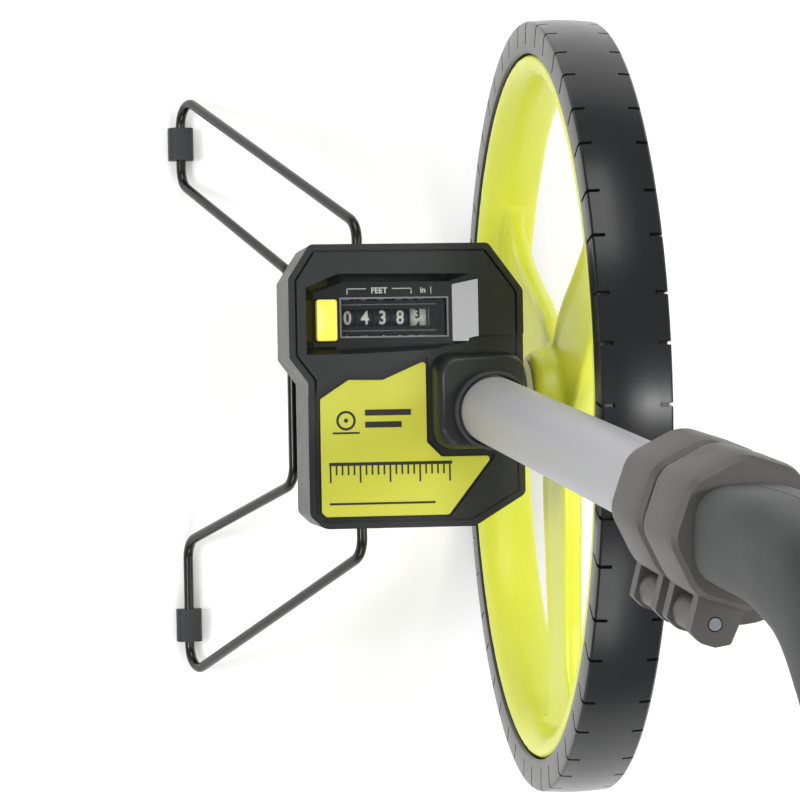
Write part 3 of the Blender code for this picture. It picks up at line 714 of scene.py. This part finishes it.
class MEASURING_WHEEL_OT_housing(bpy.types.Operator):
    """Front housing with its counter pocket, label recess, edge groove and stepped deck"""
    bl_idname = "measuring_wheel.housing"
    bl_label = "Front housing"

    def execute(self, context):
        bottom, top = [corner.z for corner in extent("front_housing")]
        outline = rounded(HOUSING, housing_radii(2.2), 4)
        shell = add_piece("front_shell", prism(outline, bottom, top), spark_eroded_abs(),
                          replaced=("front_housing",))
        carve(shell, "DIFFERENCE", housing_cuts(bottom, top))
        groove = band(inset(HOUSING, 2.3), inset(HOUSING, 3.1), top - 2.2, top + 1)
        carve(shell, "DIFFERENCE", [temporary(groove)])
        soften(shell, sizes().moulded_edge)
        shell.data.materials.append(polished_abs())
        for face in shell.data.polygons:
            face.material_index = int(in_pocket(face, top))
        return {"FINISHED"}


def housing_cuts(bottom, top):
    """Helper objects for the hollow, the step in the deck, the recesses and the holes."""
    deck = top - DECK_DROP
    above = top + 5
    step = [(-70.0, 125.0), (5.5, 125.0), (5.5, 96.7), (13.3, 83.7), (13.1, 71.3), (23.3, 46.7), (26.1, 36.3),
            (27.5, 10.0), (-70.0, 10.0)]
    pivot = (STAND_PIVOT.y / MM, STAND_PIVOT.z / MM)
    cuts = [prism(inset(HOUSING, 2.5), bottom - 5, deck),
            prism(step, top - 1.5, above),
            prism(rounded(LABEL_ZONE, 1.0, 3), LABEL_FLOOR, above),
            pocket_cut(top),
            box((26.8, 40.4), (46.4, 85.4), (deck - 3, above)),
            box((24.7, 40.7), (86.8, 95.1), (deck - 3, above)),
            rod(12.5, 10, 25, "Y", (0, AXLE.z / MM)),
            rod(4.3, 35, 90, "X", pivot, 32),
            rod(4.3, -70, -30, "X", pivot, 32),
            prism(inset(HOUSING, -2.0), bottom - 0.9, bottom + 0.1)]
    return [temporary(bm) for bm in cuts] + [temporary(rod(15.0, -60, 60), TUBE_PLACE)]


def in_pocket(face, top):
    """Whether a face is on the pocket's floor or one of its sloping walls."""
    x, y, z = face.center / MM
    return 20.5 < x < 49.6 and 35.0 < y < 98.6 and 176.2 < z < top - 0.3 and face.normal.z > 0.3


def pocket_cut(top):
    """The faceted pocket round the counter window. Its walls run on past the mouth, clear of the top face."""
    floor = [(46.6, 84.5), (46.6, 45.5), (45.4, 44.2), (24.6, 44.2), (24.0, 46.0), (23.0, 86.0),
             (23.0, 95.6), (43.0, 95.6)]
    mouth = [(49.6, 86.5), (49.2, 38.0), (47.2, 35.2), (24.4, 35.2), (21.8, 45.6), (20.2, 86.0),
             (20.2, 98.6), (44.6, 98.6)]
    past = 1.6
    deep = 4.0
    share = (deep + past) / deep
    grown = [(f[0] + (m[0] - f[0]) * share, f[1] + (m[1] - f[1]) * share) for f, m in zip(floor, mouth)]
    return loft(floor, grown, POCKET_FLOOR, top + past)


class MEASURING_WHEEL_OT_rear_cover(bpy.types.Operator):
    """Rear cover with drafted walls, screw wells and a row of shallow slots"""
    bl_idname = "measuring_wheel.rear_cover"
    bl_label = "Rear cover"

    def execute(self, context):
        bottom, top = [corner.z for corner in extent("rear_cover")]
        outline_low = rounded(inset(HOUSING, 3.5), housing_radii(2.6), 4)
        outline_high = rounded(inset(HOUSING, 0.4), housing_radii(2.2), 4)
        cover = add_piece("rear_shell", loft(outline_low, outline_high, bottom, top), spark_eroded_abs(),
                          replaced=("rear_cover",))
        wall, floor = 3.0, 2.5
        hollow = loft(inset(HOUSING, 2 * wall), inset(HOUSING, wall), bottom + floor, top + 0.5)
        cuts = [temporary(hollow)]
        for number in range(1, 5):
            near, far = extent("cover_screw_%d" % number)
            centre = ((near.x + far.x) / 2, (near.y + far.y) / 2)
            cuts.append(temporary(rod(3.6, bottom - 5, bottom + 2.2, "Z", centre)))
        for x in range(-24, 37, 15):
            slot = rounded(rectangle((x, x + 5), (50, 78)), 2.4, 4)
            cuts.append(temporary(prism(slot, bottom - 1, bottom + 0.9)))
        carve(cover, "DIFFERENCE", cuts)
        soften(cover, sizes().moulded_edge)
        return {"FINISHED"}


class MEASURING_WHEEL_OT_label(bpy.types.Operator):
    """Printed label with a generic ruler graphic"""
    bl_idname = "measuring_wheel.label"
    bl_label = "Label"

    def execute(self, context):
        outline = rounded(inset(LABEL_ZONE, 0.9), 1.2, 4)
        plate = add_piece("label_sheet", prism(outline, LABEL_BASE, LABEL_FACE), laminated_label(),
                          replaced=("label_plate",))
        soften(plate, 0.25 * MM, 2)
        marks = ruler_marks() + wheel_sign((-4.0, 84.5))
        for middle, end in ((-1.2, 60.5), (-5.6, 64.0)):
            marks.append(box((middle - 1.1, middle + 1.1), (end, 77.5), PRINT_LEVEL))
        add_piece("label_print", merge(*marks), pad_print("black", "1A1B18"))
        return {"FINISHED"}


def ruler_marks():
    """A ruler's ticks along its line, every fifth one longer, and a plain line beyond them."""
    edge = -20.5
    marks = []
    for k in range(21):
        y = 90.5 - k * 2.2
        length = 6.2 if k % 5 == 0 else 3.4
        marks.append(box((edge - length, edge), (y - 0.32, y + 0.32), PRINT_LEVEL))
    marks.append(box((edge, edge + 1.2), (45.6, 91.0), PRINT_LEVEL))
    marks.append(box((-34.8, -34.0), (52.0, 91.0), PRINT_LEVEL))
    return marks


def wheel_sign(centre):
    """A small pictogram of a wheel rolling along a line."""
    ring = band(circle(3.6, 40, centre), circle(2.7, 40, centre), *PRINT_LEVEL)
    hub = rod(0.8, *PRINT_LEVEL, "Z", centre, 20)
    line = box((centre[0] - 4.9, centre[0] - 4.2), (centre[1] - 5.0, centre[1] + 5.0), PRINT_LEVEL)
    return [ring, hub, line]


class MEASURING_WHEEL_OT_collar(bpy.types.Operator):
    """Moulded boss and rubber seal where the handle leaves the housing"""
    bl_idname = "measuring_wheel.collar"
    bl_label = "Handle socket"

    def execute(self, context):
        low, high = extent("socket_collar")
        bottom, top = low.z - 1.6, high.z
        outline = rounded([(high.x, 19.0), (high.x, high.y), (low.x, high.y), (low.x, 19.0)], 7.0, 8)
        centre = Vector((1.2, 33.0))
        mouth = 15.2  # radius that the boss closes in towards
        rows = []
        for shrink, rise in ((0.0, 0.0), (0.06, 0.42), (0.16, 0.72), (0.32, 0.93), (0.44, 0.99), (0.6, 1.0)):
            row = []
            for point in outline:
                away = Vector(point) - centre
                size = away.length - (away.length - mouth) * shrink
                row.append((*(centre + away.normalized() * size), bottom + (top - bottom) * rise))
            rows.append(row)
        collar = add_piece("socket_boss", skin(rows), spark_eroded_abs(), replaced=("socket_collar",))
        carve(collar, "DIFFERENCE", [temporary(rod(12.9, -60, 60, count=96), TUBE_PLACE)])
        soften(collar, 0.6 * MM, 3, 40)
        angles = [radians(d) for d in range(-60, 181, 20)]
        lip = [(12.75, 8.9)] + [(13.6 + 0.95 * cos(a), 10.5 + 1.5 * sin(a)) for a in angles]
        add_piece("socket_seal", turned(lip), soft_pvc(), "root", ("tube_seal",), 50,
                  TUBE_PLACE)
        return {"FINISHED"}


# ---- counter

def text_mesh(text, height):
    """Flat lettering centred on its origin, with triangles small enough to wrap."""
    curve = bpy.data.curves.new("text", "FONT")
    curve.body = text
    curve.size = height * 1.4
    curve.align_x = "CENTER"
    curve.align_y = "CENTER"
    curve.offset = height * 0.035
    holder = bpy.data.objects.new("text", curve)
    bpy.context.scene.collection.objects.link(holder)
    bpy.context.view_layer.update()
    graph = bpy.context.evaluated_depsgraph_get()
    mesh = bpy.data.meshes.new_from_object(holder.evaluated_get(graph))
    bpy.data.objects.remove(holder, do_unlink=True)
    bm = bmesh.new()
    bm.from_mesh(mesh)
    bpy.data.meshes.remove(mesh)
    bmesh.ops.triangulate(bm, faces=bm.faces)
    return bm


def thicken(bm, amount):
    """Give flat lettering a closed body below its face."""
    made = bmesh.ops.extrude_face_region(bm, geom=bm.faces[:])
    raised = [item for item in made["geom"] if isinstance(item, bmesh.types.BMVert)]
    bmesh.ops.translate(bm, verts=raised, vec=(0, 0, amount))
    return bm


class MEASURING_WHEEL_OT_counter(bpy.types.Operator):
    """Numbers on the counter's drums, and the scale printed in its pocket"""
    bl_idname = "measuring_wheel.counter"
    bl_label = "Counter"

    def execute(self, context):
        height = sizes().digit_height / MM
        radius = extent("inch_drum")[1].z - COUNTER.z / MM
        for row in DRUMS:
            number_drum(*row, height, radius)
        print_scale()
        fit_mask()
        return {"FINISHED"}


def number_drum(node, body, count, shown, height, radius):
    """Raised numbers round a drum, turned so that the shown one faces up."""
    low, high = extent(node)
    middle = (low.y + high.y) / 2
    white = node == "inch_drum"
    size = height * (0.72 if white else 1.0)
    digits = []
    for number in range(count):
        turn = -(number - shown) * 2 * pi / count
        digits.append(wrapped(text_mesh(str(number), size), middle, radius, turn))
    ink = pad_print("drum_black", "161718") if white else pad_print("drum_white", "F2F2EE")
    add_piece(node + "_numbers", merge(*digits), ink, body)


def print_scale():
    """Captions over the drums and the brackets that span them."""
    pieces = []
    for text, y in (("FEET", 71.2), ("in", 55.0)):
        letters = thicken(text_mesh(text, 2.1), INK)
        turn = Matrix.Rotation(-pi / 2, 3, "Z")
        bmesh.ops.rotate(letters, verts=letters.verts, cent=(0, 0, 0), matrix=turn)
        bmesh.ops.translate(letters, verts=letters.verts, vec=(43.4, y, POCKET_FLOOR))
        pieces.append(letters)
    level = (POCKET_FLOOR, POCKET_FLOOR + INK)
    along = (44.0, 44.3)
    down = (42.2, 44.3)
    for x, y in ((along, (76.0, 83.2)), (down, (82.9, 83.2)), (along, (59.2, 66.4)), (down, (59.2, 59.5)),
                 ((42.2, 44.6), (51.9, 52.2))):
        pieces.append(box(x, y, level))
    add_piece("scale_print", merge(*pieces), pad_print("light_grey", "B4B6B6"))


def fit_mask():
    """The slotted mask over the drums, the window's edge and the rails beside the numbers."""
    mask = add_piece("counter_mask", box((27.15, 40.05), (46.75, 85.05), (173.3, 174.5)), polished_abs())
    middles = [FIRST_DRUM + DRUM_PITCH * k for k in range(len(DRUMS))]
    slots = [temporary(box((30.5, 36.7), (y - 3.0, y + 3.0), (173.0, 175.0))) for y in middles]
    slots.append(temporary(box((29.7, 37.3), (48.2, 52.2), (173.9, 175.0))))
    carve(mask, "DIFFERENCE", slots)
    edge = rectangle((26.2, 41.0), (45.7, 85.9))
    add_piece("window_bezel", band(edge, inset(edge, 0.6), POCKET_FLOOR - 0.05, POCKET_FLOOR + 0.35),
              grey_bezel())
    level = (174.45, 174.65)
    rails = merge(box((28.6, 29.0), (50.0, 84.8), level), box((38.2, 38.6), (50.0, 84.8), level),
                  box((30.3, 37.0), (52.6, 52.9), level))
    add_piece("mask_rails", rails, grey_bezel())


def wrapped(bm, middle, radius, turn):
    """Wrap flat lettering round a drum: its right is -Y and its top leans to +X."""
    slice_height = 0.23
    for k in range(-16, 17):
        bmesh.ops.bisect_plane(bm, geom=bm.verts[:] + bm.edges[:] + bm.faces[:], plane_no=(0, 1, 0),
                               plane_co=(0, k * slice_height, 0))
    thicken(bm, 0.12)
    narrow = 0.84
    for vert in bm.verts:
        angle = turn + vert.co.y / radius
        reach = radius + 0.02 + vert.co.z
        vert.co = Vector((COUNTER.x / MM + reach * sin(angle), middle - vert.co.x * narrow,
                          COUNTER.z / MM + reach * cos(angle)))
    return bm


class MEASURING_WHEEL_OT_button(bpy.types.Operator):
    """Reset button with a dished thumb face"""
    bl_idname = "measuring_wheel.button"
    bl_label = "Reset button"

    def execute(self, context):
        low, high = extent("reset_button")
        top = high.z
        outline = rounded([(high.x, low.y), (high.x, high.y), (low.x, high.y), (low.x, low.y)], 0.9, 4)
        centre = ((low + high) / 2).to_2d()
        underside = 170.6
        levels = ((1.0, underside), (1.0, top - 0.9), (0.985, top - 0.35), (0.93, top - 0.02), (0.86, top),
                  (0.6, top - 0.25), (0.3, top - 0.4))
        cap = skin([[(*(centre + (Vector(p) - centre) * scale), z) for p in outline] for scale, z in levels])
        stem = rod(1.4, 164.0, underside + 0.5, "Z", tuple(centre), 24)
        add_piece("button_cap", merge(cap, stem), yellow_button_abs(), "button", ("reset_button",),
                  50)
        return {"FINISHED"}


# ---- stand

class MEASURING_WHEEL_OT_stand(bpy.types.Operator):
    """Bent wire stand and its two soft feet"""
    bl_idname = "measuring_wheel.stand"
    bl_label = "Wire stand"

    def execute(self, context):
        low, high = extent("stand_pad_front")
        foot = Vector((0.0, (low.y + high.y) / 2, FOOT_HEIGHT))
        pivot = Vector((0.0, STAND_PIVOT.y / MM, STAND_PIVOT.z / MM))
        bridge = 0.357  # the bar's place between the pivot and the feet
        route = [(52.0, 0), (70.0, 0), (133.8, 1), (96.5, 1), (54.1, bridge), (-28.5, bridge), (-54.5, 1),
                 (-110.8, 1), (-54.7, 0), (-35.0, 0)]
        corners = [Vector((x, 0, 0)) + pivot + (foot - pivot) * share for x, share in route]
        path = rounded(corners, 9.0, 10, closed=False)
        add_piece("stand_wire", swept(path, WIRE_RADIUS), powder_coated_wire(), "stand", ("kickstand_wire",),
                  60)
        for node in ("stand_pad_front", "stand_pad_rear"):
            low, high = extent(node)
            profile = rounded(rectangle((low.y, high.y), (0.0, high.z)), [0.9, 0.9, 3.2, 3.2], 6)
            pad = add_piece(node + "_moulded", prism(profile, low.x, high.x, "X"), soft_pvc(), "stand",
                            (node,))
            bore = rod(WIRE_RADIUS + 0.15, low.x - 5, high.x + 5, "X", (foot.y, FOOT_HEIGHT), 32)
            starts = [low.x + 2.1 + k * 2.75 for k in range(4)]
            slots = [box((x, x + 1.1), (low.y - 1, high.y + 1), (-1.0, 0.5)) for x in starts]
            carve(pad, "DIFFERENCE", [temporary(bm) for bm in (bore, *slots)])
            soften(pad, 0.35 * MM, 2)
        return {"FINISHED"}


# ---- handle

def tube_profile(outer, inner, low, high):
    """A tube's section with rolled lips."""
    edge = 0.35
    return [(outer, low + edge), (outer, high - edge), (outer - edge, high), (inner + edge, high),
            (inner, high - edge), (inner, low + edge), (inner + edge, low), (outer - edge, low)]


class MEASURING_WHEEL_OT_tubes(bpy.types.Operator):
    """Three telescoping tubes"""
    bl_idname = "measuring_wheel.tubes"
    bl_label = "Handle tubes"

    def execute(self, context):
        for node, body, outer, inner, low, high in TUBES:
            bm = turned(tube_profile(outer, inner, low, high))
            add_piece(node + "_drawn", bm, anodised_tube(), body, (node,), 40, TUBE_PLACE)
        return {"FINISHED"}


class MEASURING_WHEEL_OT_clamps(bpy.types.Operator):
    """Clamp collars and their cam levers"""
    bl_idname = "measuring_wheel.clamps"
    bl_label = "Clamps and levers"

    def execute(self, context):
        for k, (prefix, body, lever_body, low) in enumerate(CLAMPS):
            outer, top = TUBES[k][2], TUBES[k][5]
            inner = TUBES[k + 1][2]
            collar = add_piece(prefix + "_clamp_moulded", clamp_ring(low), glass_filled_nylon(), body,
                               (prefix + "_clamp",), 30, TUBE_PLACE)
            lugs = [prism(aside(lug_outline()), low + start, low + start + 4.5) for start in (3, 24.5)]
            carve(collar, "UNION", [temporary(lug, TUBE_PLACE) for lug in lugs])
            below, above = low - 5, low + 50
            bores = [rod(outer + 0.3, below, top + 0.3, count=96),
                     rod(inner + 0.4, below, above, count=96),
                     rod(7.2, low + 7.7, low + 24.3, "Z", LEVER_PIN),
                     rod(LEVER_BORE, below, above, "Z", LEVER_PIN)]
            carve(collar, "DIFFERENCE", [temporary(bore, TUBE_PLACE) for bore in bores])
            soften(collar, 0.8 * MM, 3, 40)
            lever = add_piece(prefix + "_lever_moulded", prism(aside(lever_outline()), low + 8.3, low + 23.7),
                              glass_filled_nylon(), lever_body, (prefix + "_lever",), 30,
                              TUBE_PLACE)
            carve(lever, "DIFFERENCE", [temporary(rod(LEVER_BORE, below, above, "Z", LEVER_PIN), TUBE_PLACE)])
            soften(lever, 0.8 * MM, 3, 40)
        return {"FINISHED"}


def aside(points):
    """Turn points of a clamp's outline about the tube."""
    return [tuple(CLAMP_TURN @ Vector(p)) for p in points]


def clamp_ring(low):
    """An eight-sided collar with softened corners, domed towards the tube it is fixed on."""
    corners = circle(22.4, 8, (0, 0), pi / 8)
    outline = aside(rounded(corners, 9.0, 6))
    levels = ((0.74, 0.0), (0.84, 0.9), (0.92, 2.6), (0.97, 5.0), (1.0, 9.0), (1.0, 27.5), (0.97, 30.2),
              (0.9, 31.5))
    return skin([[(x * scale, y * scale, low + rise) for x, y in outline] for scale, rise in levels])


def lug_outline():
    """A lug that carries the lever's pin."""
    return rounded([(-12, -7.5), (-30, -6), (-32, -2), (-32, 2), (-30, 6), (-12, 7.5)], 1.2, 3)


def lever_outline():
    """Knuckle round the pin, and an arm that follows the collar to a rounded tip."""
    outside = LEVER_INSIDE + LEVER_WALL
    tip_centre = arc(LEVER_INSIDE + LEVER_WALL / 2, [259])[0]
    knuckle = arc(5.6, range(145, 19, -12), (-PIN_REACH, 0.0))
    inner_arc = arc(LEVER_INSIDE, range(193, 258, 8))
    tip = arc(LEVER_WALL / 2, range(99, 259, 20), tip_centre)
    outer_arc = arc(outside, range(257, 192, -8))
    return knuckle + inner_arc + tip + outer_arc


class MEASURING_WHEEL_OT_grip(bpy.types.Operator):
    """Two-shell pistol grip with a rubber overmould"""
    bl_idname = "measuring_wheel.grip"
    bl_label = "Grip"

    def execute(self, context):
        for node, side in (("grip_left", 1), ("grip_right", -1)):
            half = add_piece(node + "_shell", grip_half(side), grip_rubber(), "upper_handle", (node,),
                             40, TUBE_PLACE)
            cuts = [temporary(rod(9.5, 280, 366.3, count=64), TUBE_PLACE)]
            if side < 0:
                for x, z in GRIP_SCREWS:
                    cuts.append(temporary(rod(3.4, -20, -13.9, "Y", (x, z)), TUBE_PLACE))
            carve(half, "DIFFERENCE", cuts)
            smooth(half, 40)
        return {"FINISHED"}


def grip_stations(count=56):
    """Centre, half width and direction along the grip, on a smooth curve through its design points."""
    points = [Vector((*p, h)) for p, h in GRIP_LINE]
    padded = [points[0] * 2 - points[1]] + points + [points[-1] * 2 - points[-2]]
    stations = []
    spans = len(points) - 1
    for i in range(count + 1):
        t = i / count * spans
        k = min(int(t), spans - 1)
        u = t - k
        a, b, c, d = padded[k:k + 4]
        point = 0.5 * (2 * b + (c - a) * u + (2 * a - 5 * b + 4 * c - d) * u ** 2 +
                       (3 * b - 3 * c + d - a) * u ** 3)
        slope = 0.5 * ((c - a) + 2 * (2 * a - 5 * b + 4 * c - d) * u + 3 * (3 * b - 3 * c + d - a) * u ** 2)
        ahead = Vector((slope.x, slope.y)).normalized()
        stations.append((Vector((point.x, point.y)), point.z, ahead, i / count))
    return stations


def grip_half(side):
    """Half of the grip: a rounded section, finger hollows underneath and swollen ends."""
    square = 0.62  # below 1, the section is squarer than an ellipse
    first, last = 0.45, 0.9  # where the finger hollows start and end
    rows = []
    for centre, half, ahead, share in grip_stations():
        across = Vector((-ahead.y, ahead.x))
        hollow = 0.45 * (1 - cos(2 * pi * 4 * (share - first) / 0.45)) if first < share < last else 0.0
        row = []
        for k in range(13):
            a = -pi / 2 + pi * k / 12
            u = half * (abs(sin(a)) ** square) * (1 if sin(a) > 0 else -1)
            v = GRIP_DEPTH * abs(cos(a)) ** square
            if u > 0:
                u -= hollow * (u / half)
            point = centre + across * u * 0.985
            row.append((point.x, side * (0.15 + v), point.y))
        rows.append(row)
    return skin(rows)


# ---- screws and carried-over nodes

class MEASURING_WHEEL_OT_finishes(bpy.types.Operator):
    """Materials on the nodes that are shown as they were designed"""
    bl_idname = "measuring_wheel.finishes"
    bl_label = "Finishes"

    def execute(self, context):
        steel = zinc_plated_steel()
        finishes = {"counter_pinion": turned_brass(), "axle_carrier": cast_aluminium(),
                    "inch_drum": acetal_white(), "window_lens": clear_window(), "spring_seat": polished_abs()}
        for name, node in NODES.items():
            material = finishes.get(name)
            if material is None and name.startswith("feet_drum"):
                material = acetal_black()
            if material is None and name.startswith(("hub_bush", "drive_gear", "idler_gear", "stand_bush")):
                material = natural_nylon()
            node.data.materials.clear()
            node.data.materials.append(material or steel)
        return {"FINISHED"}


# ---- stage

# Lights: name, place and aim in metres, size, watts.
MIDDLE = (0.0, 0.03, 0.15)
LIGHTS = [("key", (0.0, 1.15, 1.55), MIDDLE, (0.46, 0.46), 12),
          ("front", (1.6, 0.2, 1.3), MIDDLE, (1.0, 1.0), 14),
          ("rear", (-1.6, 0.2, 1.3), MIDDLE, (1.0, 1.0), 14),
          ("side", (0.0, -1.5, 1.4), MIDDLE, (1.0, 1.0), 12),
          ("strip", (0.0, -0.42, 1.5), (0.0, 0.0, 0.29), (0.06, 0.3), 3.0)]


class MEASURING_WHEEL_OT_stage(bpy.types.Operator):
    """Pale floor, soft studio light and the camera above the parked wheel"""
    bl_idname = "measuring_wheel.stage"
    bl_label = "Stage"

    def execute(self, context):
        lay_floor()
        light_world()
        for light in LIGHTS:
            add_light(*light)
        set_camera(context.scene)
        return {"FINISHED"}


def lay_floor():
    """A wide sheet of white paper under the wheel."""
    reach = 6000  # mm
    bm = bmesh.new()
    bm.faces.new([bm.verts.new((x, y, 0.0)) for x, y in rectangle((-reach, reach), (-reach, reach))])
    floor = linked("studio_floor", bm)
    floor.data.materials.append(grained("paper_backdrop", linear("FFFFFF"), linear("FBFBFB"), 0.9, 3.0, 0.01))


def light_world():
    """A dim white surround that lifts the shadows."""
    world = bpy.data.worlds.new("studio")
    bpy.context.scene.world = world
    world.use_nodes = True
    sky = world.node_tree.nodes["Background"]
    sky.inputs["Color"].default_value = (1.0, 1.0, 1.0, 1.0)
    sky.inputs["Strength"].default_value = 0.45


def set_camera(scene):
    """A long lens above the wheel, a little towards its counter side."""
    camera_data = bpy.data.cameras.new("camera")
    camera_data.lens = 131.3
    camera_data.sensor_width = 36.0
    camera_data.clip_end = 50.0
    camera = bpy.data.objects.new("camera", camera_data)
    scene.collection.objects.link(camera)
    eye = Vector((0.0, 0.2056, 1.2368))
    ahead = Vector((0.0030, -0.1322, -0.9912)).normalized()
    right = Vector((-0.0182, -0.9911, 0.1321))
    right = (right - ahead * right.dot(ahead)).normalized()
    turn = Matrix((right, right.cross(ahead), -ahead)).transposed().to_4x4()
    camera.matrix_world = Matrix.Translation(eye) @ turn
    scene.camera = camera
    scene.view_settings.view_transform = "Standard"


def add_light(name, place, aim, size, watts):
    """A rectangular area light that faces a point."""
    data = bpy.data.lights.new(name, "AREA")
    data.shape = "RECTANGLE"
    data.size, data.size_y = size
    data.energy = watts
    light = bpy.data.objects.new(name, data)
    light.location = place
    light.rotation_euler = (Vector(aim) - Vector(place)).to_track_quat("-Z", "Y").to_euler()
    bpy.context.scene.collection.objects.link(light)


OPERATORS = (MEASURING_WHEEL_OT_finishes, MEASURING_WHEEL_OT_tyre, MEASURING_WHEEL_OT_rim,
             MEASURING_WHEEL_OT_hub, MEASURING_WHEEL_OT_housing, MEASURING_WHEEL_OT_rear_cover,
             MEASURING_WHEEL_OT_label, MEASURING_WHEEL_OT_collar, MEASURING_WHEEL_OT_counter,
             MEASURING_WHEEL_OT_button, MEASURING_WHEEL_OT_stand, MEASURING_WHEEL_OT_tubes,
             MEASURING_WHEEL_OT_clamps, MEASURING_WHEEL_OT_grip, MEASURING_WHEEL_OT_stage)


class MEASURING_WHEEL_PT_panel(bpy.types.Panel):
    """Lists the builders of the measuring wheel's pieces"""
    bl_idname = "MEASURING_WHEEL_PT_panel"
    bl_label = "Measuring wheel"
    bl_space_type = "VIEW_3D"
    bl_region_type = "UI"
    bl_category = "Measuring wheel"

    def draw(self, context):
        for group in (context.scene.measuring_wheel_sizes, context.scene.measuring_wheel_colours):
            for key in group.__annotations__:
                self.layout.prop(group, key)
        for operator in OPERATORS:
            self.layout.operator(operator.bl_idname)


CLASSES = (MeasuringWheelSizes, MeasuringWheelColours, *OPERATORS, MEASURING_WHEEL_PT_panel)


def register():
    for cls in CLASSES:
        bpy.utils.register_class(cls)
    bpy.types.Scene.measuring_wheel_sizes = bpy.props.PointerProperty(type=MeasuringWheelSizes)
    bpy.types.Scene.measuring_wheel_colours = bpy.props.PointerProperty(type=MeasuringWheelColours)


def unregister():
    del bpy.types.Scene.measuring_wheel_colours
    del bpy.types.Scene.measuring_wheel_sizes
    for cls in reversed(CLASSES):
        bpy.utils.unregister_class(cls)


def main():
    register()
    for operator in OPERATORS:
        group, name = operator.bl_idname.split(".")
        getattr(getattr(bpy.ops, group), name)()


if __name__ == "__main__":
    main()
